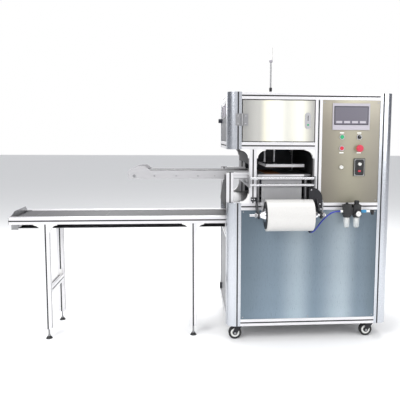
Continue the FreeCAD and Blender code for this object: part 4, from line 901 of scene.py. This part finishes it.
@dataclass
class AirUnit:
    """Filter, regulator, gauge, hand valve and blue hose."""

    y: float = -55.0
    z: float = 764.0
    blocks: tuple[float, float] = (666.0, 721.0)
    hose: tuple[Point, ...] = (
        (629, -55, 764), (590, -55, 764), (554, -62, 741), (522, -66, 712),
        (499, -66, 680), (483, -58, 656), (473, -34, 641), (473, -5.3, 641))

    def body(self) -> None:
        """Black blocks with their rings, coupling and bracket."""
        y, piece = self.y, Piece()
        for x in self.blocks:
            piece.box(at(x - 21, y - 19, 738), at(x + 21, y + 19, 802))
            piece.turned(at(x, y, 745), -Z, [(0, 0), (0, 20), (8, 20.5), (14, 19.5), (14, 0)], 40)
            piece.turned(at(x, y, 799), Z, [(0, 0), (0, 17), (6, 16), (6, 0)], 40)
        piece.box(at(687, y - 14, 744), at(700, y + 14, 788))
        piece.turned(at(self.blocks[0], y, 805), Z, [(0, 0), (0, 8), (7, 7.5), (10, 4), (10, 0)], 28)
        piece.turned(at(649, y, self.z), -X, [(0, 0), (0, 10), (5, 10), (5, 0)], 6)
        piece.box(at(668, y + 19, 772), at(719, -0.5, 798))
        piece.done("air_block", BLACK, slot="black_plastic", replaces=("air_regulator",), bevel=1.2)

    def bowls(self) -> None:
        """Clear bowls with their drain and the element inside."""
        bowls, inner, drains = Piece(), Piece(), Piece()
        bowl = [(0, 17.6), (8, 17.6), (50, 15.6), (58, 12), (61, 6), (61, 0)]
        for x in self.blocks:
            bowls.turned(at(x, self.y, 733), -Z, bowl, 40)
            inner.turned(at(x, self.y, 731), -Z, [(0, 0), (0, 9), (30, 9), (34, 7), (34, 0)], 24)
            drains.turned(at(x, self.y, 676), -Z, [(0, 0), (0, 5), (5, 5), (5, 0)], 20)
        bowls.done("air_bowls", BOWL, slot="grey_plastic")
        inner.done("air_filter_elements", WHITE, slot="white_plastic")
        drains.done("air_drains", BLACK, slot="black_plastic")

    def gauge(self) -> None:
        """Pressure gauge with a white dial."""
        x, y, z = self.blocks[1] + 2, self.y - 21, 754
        case = [(-3, 0), (-3, 17), (0, 17.8), (13, 17.8), (14, 17), (14, 15.6), (11.5, 15.2)]
        Piece().turned(at(x, y, z), -Y, case, 48).done("gauge_case", DARK_STEEL, slot="black_plastic")
        Piece().turned(at(x, y, z), -Y, [(11, 0), (11, 15.4), (11.4, 15.4), (11.4, 0)], 48).done(
            "gauge_dial", WHITE, slot="white_plastic")
        marks = Piece()
        for k in range(-6, 7):
            a = math.radians(k * 22)
            centre = at(x + math.sin(a) * 12.4, y - 11.5, z + math.cos(a) * 12.4)
            marks.plate(centre, (0.35, 0.1, 1.4 if k % 2 else 2.0), Matrix.Rotation(a, 3, "Y"))
        needle = Matrix.Rotation(math.radians(-40), 3, "Y")
        marks.plate(at(x - 3.0, y - 11.7, z + 3.6), (0.5, 0.1, 5.0), needle)
        marks.turned(at(x, y - 11.4, z), -Y, [(0, 1.8), (0.6, 1.6), (0.6, 0)], 20)
        marks.done("gauge_marks", INK, slot="black_plastic")

    def knob(self) -> None:
        """Ribbed pressure knob."""
        x, piece = self.blocks[1], Piece()
        base = at(x, self.y, 806.6)
        piece.turned(base, Z, [(0, 0), (0, 12.6), (16, 12.6), (19, 11), (19, 0)], 40)
        for k in range(18):
            a = 2 * math.pi * k / 18
            centre = base + Vector((math.cos(a) * 0.0128, math.sin(a) * 0.0128, 0.0085))
            piece.plate(centre, (1.1, 1.3, 7.5), Matrix.Rotation(a, 3, "Z"))
        piece.done("pressure_knob", BLACK, body="regulator_knob", slot="black_plastic",
                   replaces=("regulator_knob",))

    def valve(self) -> None:
        """Blue sliding sleeve, white union and black elbow."""
        y, z = self.y, self.z
        Piece().turned(at(742, y, z), X, [(0, 0), (0, 8.6), (3, 9), (30, 9), (34, 8), (34, 0)], 36).done(
            "valve_sleeve", BLUE, slot="blue_plastic", replaces=("hand_valve",))
        profile = [(0, 0), (0, 7), (4, 7), (4, 6), (16, 6), (16, 6.9), (20, 6.9), (20, 0)]
        union = Piece().turned(at(776, y, z), X, profile, 30)
        union.done("valve_union", WHITE, slot="white_plastic")
        elbow = Piece().turned(at(796, y, z), X, [(0, 0), (0, 6.9), (14, 6.9), (17, 6.9), (17, 0)], 30)
        profile = [(0, 0), (0, 6), (2, 8.4), (25, 8.4), (25, 7.4), (28, 7.4), (28, 4.2), (10, 4.2)]
        elbow.turned(at(813, y, z + 8.4), -Z, profile, 32)
        elbow.done("valve_elbow", BLACK, slot="black_plastic")
        fitting = Piece().nut(at(637.5, y, z), X, 8.0, 6)
        fitting.turned(at(629.5, y, z), X, [(0, 4.2), (0, 6.6), (8, 6.6), (8, 4.2)], 28)
        fitting.done("hose_fitting", WHITE, slot="white_plastic")

    def cord(self) -> None:
        """The blue hose from the filter to its gland."""
        curve = bpy.data.curves.new("blue_hose", "CURVE")
        curve.dimensions = "3D"
        curve.bevel_depth, curve.bevel_resolution, curve.resolution_u, curve.use_fill_caps = 0.004, 4, 8, True
        spline = curve.splines.new("NURBS")
        points = [at(*p) for p in self.hose]
        spline.points.add(len(points) - 1)
        for item, p in zip(spline.points, points):
            item.co = (*p, 1.0)
        spline.order_u, spline.use_endpoint_u = 3, True
        hose = place(bpy.data.objects.new("blue_hose", curve), HOSE, "cabinet", "blue_hose", ("air_hose",))

    def build(self) -> None:
        """Add the air unit's pieces."""
        dress(BLACK, "hose_gland")
        for step in (self.cord, self.body, self.bowls, self.gauge, self.knob, self.valve):
            step()


@dataclass
class SealingStation:
    """Table, heated head and cylinder in the work zone."""

    table_top: float = 962.0
    head_base: float = 1000.0
    head_top: float = 1016.0
    head_tape: float = 1.4
    table_tape: float = 1.2
    rods: tuple[float, float] = (244.0, 302.0)
    rod_y: float = 250.0

    def tapes(self) -> None:
        """Brown sealing tape under the head and on the table."""
        low, high, top = self.head_base - self.head_tape, self.head_base, self.table_top
        head = Piece().box(at(237, 134, low), at(309, 458, high)).box(at(311, 134, low), at(460, 168, high))
        head.done("head_tape", TAPE, body="sealing_head", slot="black_plastic")
        table = Piece().box(at(230, 132, top), at(316, 462, top + self.table_tape))
        table.done("table_tape", TAPE, slot="black_plastic")

    def fasteners(self) -> None:
        """Screws and rod collars on the head."""
        screws, collars = Piece(), Piece()
        for x in (252, 294, 340, 400, 448):
            screws.screw(at(x, 150, self.head_top), Z, 4, 3)
        screws.done("head_screws", PLAIN_STEEL, body="sealing_head", slot="plain_steel")
        for x in self.rods:
            collars.turned(at(x, self.rod_y, self.head_top), Z, [(0, 6.1), (0, 12), (9, 12), (9, 6.1)], 30)
        collars.done("rod_collars", DARK_STEEL, body="sealing_head", slot="black_metal")

    def build(self) -> None:
        """Dress the station's nodes and add its pieces."""
        dress(ALUMINIUM, "sealing_head")
        dress(PLAIN_STEEL, "sealing_frame")
        self.tapes()
        self.fasteners()
        lip = Piece().box(at(178, 52, 950), at(444, 59.5, 961.5))
        lip.done("table_lip", ALUMINIUM, slot="aluminium", bevel=0.8)


@dataclass
class Conveyors:
    """Belts with their seams, screws of the side plates, and the legs' feet and brace angles."""

    upper_top: float = 976.0
    lower_top: float = 709.0
    plate_sides: tuple[float, float] = (193.0, 393.0)
    plate_screw_z: float = 944.0
    stem: float = 5.05
    angle_half: float = 13.0

    def seams(self) -> None:
        """Seams across both belts."""
        seams, upper, lower = Piece(), self.upper_top, self.lower_top
        for x, y0, y1, z in ((-300, 200, 386, upper), (-700, 166, 420, lower), (-1100, 166, 420, lower)):
            seams.box(at(x, y0, z), at(x + 2.5, y1, z + 0.25))
        seams.done("belt_seams", DARK_STEEL, slot="belt")

    def screws(self) -> None:
        """Screws of the upper side plates and of the lower conveyor's end plates."""
        screws = Piece()
        for y, way in zip(self.plate_sides, (-Y, Y)):
            for x, r in ((-529, 8.5), (-413, 4.5), (-286, 3.5), (-159, 4.5), (-60, 3.5)):
                screws.screw(at(x, y, self.plate_screw_z), way, r, r * 0.6, 28)
        for y, way in ((RAIL_FRONT + HALF, -Y), (RAIL_BACK - HALF, Y)):
            for x in (-1214, -1196, 302, 320):
                for z in (645, 664):
                    screws.screw(at(x, y, z), way, 3.6, 2.4)
        screws.done("conveyor_screws", PLAIN_STEEL, slot="plain_steel")

    def feet(self) -> None:
        """Nuts and threaded stems of the levelling feet."""
        nuts = Piece()
        for x in (LEG_LEFT, LEG_RIGHT):
            for y in (RAIL_FRONT, RAIL_BACK):
                nuts.nut(at(x, y, 14.5), Z, 9, 6).nut(at(x, y, 53), Z, 9, 6.5)
                nuts.turned(at(x, y, 20), Z, [(0, self.stem), (34, self.stem)], 20)
        nuts.done("foot_nuts", PLAIN_STEEL, slot="plain_steel")

    def brace_angles(self) -> None:
        """Angle brackets where the braces meet the legs."""
        plates, low, half = Piece(), BRACE_Z + HALF + 1, self.angle_half
        for x in (LEG_LEFT, LEG_RIGHT):
            for y, side in ((RAIL_FRONT + HALF, 1), (RAIL_BACK - HALF, -1)):
                for reach, start, end in ((30, 0, 4), (4, 4, 30)):
                    a, b = sorted((y + side * 0.5, y + side * reach))
                    plates.box(at(x - half, a, low + start), at(x + half, b, low + end))
        plates.done("brace_angles", CAST, slot="cast_white", bevel=0.6)

    def build(self) -> None:
        """Dress the conveyors' nodes and add their pieces."""
        dress(BELT, "conveyor_belts")
        dress(PLAIN_STEEL, "belt_rollers", "lower_conveyor_plates")
        dress(SIDE_PLATE, "upper_conveyor_plates")
        dress(BLACK, "levelling_feet")
        for step in (self.seams, self.screws, self.feet, self.brace_angles):
            step()


@dataclass
class LampMast:
    """Mast and lamp tube on the top."""

    x: float = 288.0
    y: float = 330.0

    def build(self) -> None:
        """Replace the plain mast by its socket, rod and lamp."""
        foot = at(self.x, self.y, 0)
        socket = [(1417, 0), (1417, 8.8), (1450, 8.8), (1451, 7.4), (1455, 7.4), (1456, 8.8), (1474, 8.8),
                  (1474, 0)]
        rod = [(1474, 4.6), (1630, 4.6)]
        base = [(1626, 0), (1626, 8), (1630, 10.4), (1640, 10.4), (1640, 0)]
        tube = [(1640, 9.8), (1710, 9.8), (1715, 8.5), (1717.5, 4), (1717.5, 0)]
        pieces = (("mast_socket", socket, 28, DARK_STEEL, "black_metal", ("lamp_mast",)),
                  ("mast_rod", rod, 24, PLAIN_STEEL, "plain_steel", ()),
                  ("lamp_base", base, 28, BEZEL_GREY, "grey_plastic", ()),
                  ("lamp_tube", tube, 32, LAMP, "grey_plastic", ()))
        for name, profile, sides, finish, slot, replaced in pieces:
            Piece().turned(foot, Z, profile, sides).done(name, finish, slot=slot, replaces=replaced)


@dataclass
class Casters:
    """Four swivel casters with hub rings, axle nuts and plate bolts."""

    trail: float = -26.0
    wheel: float = 37.5
    plate_base: float = 92.0
    bolt_step: float = 25.0

    def dress_one(self, key: str, x: float, y: float) -> None:
        """Dress one caster and add its ring and nuts.

        Args:
            key: "fl", "fr", "rl" or "rr".
            x: place of its swivel axis in millimetres.
            y: the same, behind the front face.
        """
        dress(DARK_STEEL, "caster_fork_" + key)
        dress(TREAD, "caster_wheel_" + key)
        start, hub, nuts = at(x + self.trail, y, self.wheel), Piece(), Piece()
        profile = [(10.4, 13.2), (12.6, 15.2), (12.6, 18.6), (11.4, 20.4), (11.4, 25.2), (10.4, 25.2)]
        for side in (-1, 1):
            hub.turned(start, (0, side, 0), profile, 40)
            nuts.nut(start + Vector((0, side * 0.021, 0)), (0, side, 0), 7.5, 4.5)
        hub.done("wheel_ring_" + key, WHITE, body="caster_wheel_" + key, slot="white_plastic")
        nuts.done("axle_nuts_" + key, PLAIN_STEEL, body="caster_fork_" + key, slot="plain_steel")

    def build(self) -> None:
        """Dress the casters and bolt their plates on."""
        right, back, bolts = WIDTH - CASTER_X, DEPTH - CASTER_Y, Piece()
        places = (("fl", CASTER_X, CASTER_Y), ("fr", right, CASTER_Y), ("rl", CASTER_X, back),
                  ("rr", right, back))
        for key, x, y in places:
            self.dress_one(key, x, y)
            for sx in (-1, 1):
                for sy in (-1, 1):
                    spot = at(x + sx * self.bolt_step, y + sy * self.bolt_step, self.plate_base)
                    bolts.nut(spot, -Z, 5.5, 4)
        dress(PLAIN_STEEL, "caster_plates")
        bolts.done("caster_bolts", PLAIN_STEEL, slot="plain_steel")


@dataclass
class Studio:
    """Floor, soft lights, pale surroundings and the camera."""

    eye: Point = (-196.0, -2796.5, 1170.9)
    yaw: float = 0.0809
    pitch: float = 0.0996
    roll: float = 0.0054
    lens: float = 45.67
    shift: tuple[float, float] = (-0.0814, -0.0299)

    def floor(self) -> None:
        """Plain pale floor."""
        mesh = bpy.data.meshes.new("floor")
        mesh.from_pydata([(-30, -30, 0), (30, -30, 0), (30, 30, 0), (-30, 30, 0)], [], [(0, 1, 2, 3)])
        floor = bpy.data.objects.new("floor", mesh)
        bpy.context.scene.collection.objects.link(floor)
        mesh.materials.append(Finish("pale_floor", "#fbfbfb", 0.7, grain=Grain.NONE).make())

    def lights(self) -> None:
        """Key from the upper left, fill from the right and a broad top light."""
        lamps = (("key", (-2.6, -3.4, 3.4), 150, 2.4), ("fill", (3.2, -3.0, 2.2), 70, 2.6),
                 ("top", (0.2, 0.6, 4.2), 130, 3.4), ("back", (-0.5, 3.6, 2.6), 60, 2.4))
        for name, spot, power, size in lamps:
            lamp = bpy.data.lights.new(name, "AREA")
            lamp.energy, lamp.size = power, size
            obj = bpy.data.objects.new(name, lamp)
            bpy.context.scene.collection.objects.link(obj)
            obj.location = spot
            obj.rotation_euler = (Vector((0.2, 0, 0.8)) - Vector(spot)).to_track_quat("-Z", "Y").to_euler()

    def surroundings(self) -> None:
        """White to the camera; to reflections bright ahead and slate at the sides."""
        world = bpy.data.worlds.new("studio")
        bpy.context.scene.world = world
        world.use_nodes = True
        tree = world.node_tree
        back = tree.nodes["Background"]
        coords = add_node(tree, "TexCoord")
        split = add_node(tree, "SeparateXYZ", {0: coords.outputs["Generated"]})
        side = add_node(tree, "Math", {0: split.outputs[0]}, operation="ABSOLUTE")
        turn = add_node(tree, "MapRange", {0: side.outputs[0], 1: 0.45, 2: 0.92})
        mirror = add_node(tree, "Mix", {0: turn.outputs[0], 6: (0.82, 0.82, 0.84, 1),
                                                  7: (0.05, 0.055, 0.075, 1)}, data_type="RGBA")
        path = add_node(tree, "LightPath")
        plain = add_node(tree, "Mix", {0: path.outputs["Is Glossy Ray"], 6: (0.62, 0.63, 0.65, 1),
                                                 7: mirror.outputs[2]}, data_type="RGBA")
        seen = add_node(tree, "Mix", {0: path.outputs["Is Camera Ray"], 6: plain.outputs[2],
                                                7: (1, 1, 1, 1)}, data_type="RGBA")
        tree.links.new(seen.outputs[2], back.inputs[0])

    def camera(self) -> None:
        """Camera with the fitted place, turn and shift."""
        sy, cy, sp, cp = math.sin(self.yaw), math.cos(self.yaw), math.sin(self.pitch), math.cos(self.pitch)
        ahead, right = Vector((sy * cp, cy * cp, -sp)), Vector((cy, -sy, 0))
        up = right.cross(ahead)
        sr, cr = math.sin(self.roll), math.cos(self.roll)
        right, up = cr * right + sr * up, -sr * right + cr * up
        lens = bpy.data.cameras.new("main")
        lens.lens, lens.sensor_width, lens.shift_x, lens.shift_y = self.lens, 36.0, *self.shift
        camera = bpy.data.objects.new("main", lens)
        bpy.context.scene.collection.objects.link(camera)
        turn = Matrix((right, up, -ahead)).transposed().to_4x4()
        camera.matrix_world = Matrix.Translation(at(*self.eye)) @ turn
        bpy.context.scene.camera = camera

    def build(self) -> None:
        """Set the stage and the render's colour settings."""
        self.floor()
        self.lights()
        self.surroundings()
        self.camera()
        scene = bpy.context.scene
        scene.view_settings.view_transform = "Standard"
        scene.render.engine = "CYCLES"
        scene.cycles.use_denoising = True
        scene.cycles.transparent_max_bounces = 16


def main() -> None:
    """Build every sub-assembly in order."""
    logging.basicConfig(level=logging.INFO, format="%(message)s")
    parts = (Studio(), AirUnit(), Frame(), Panels(), Controls(), FilmPath(), SealingStation(),
             Conveyors(), LampMast(), Casters())
    for part in parts:
        LOG.info("building %s", type(part).__name__)
        part.build()


if __name__ == "__main__":
    main()
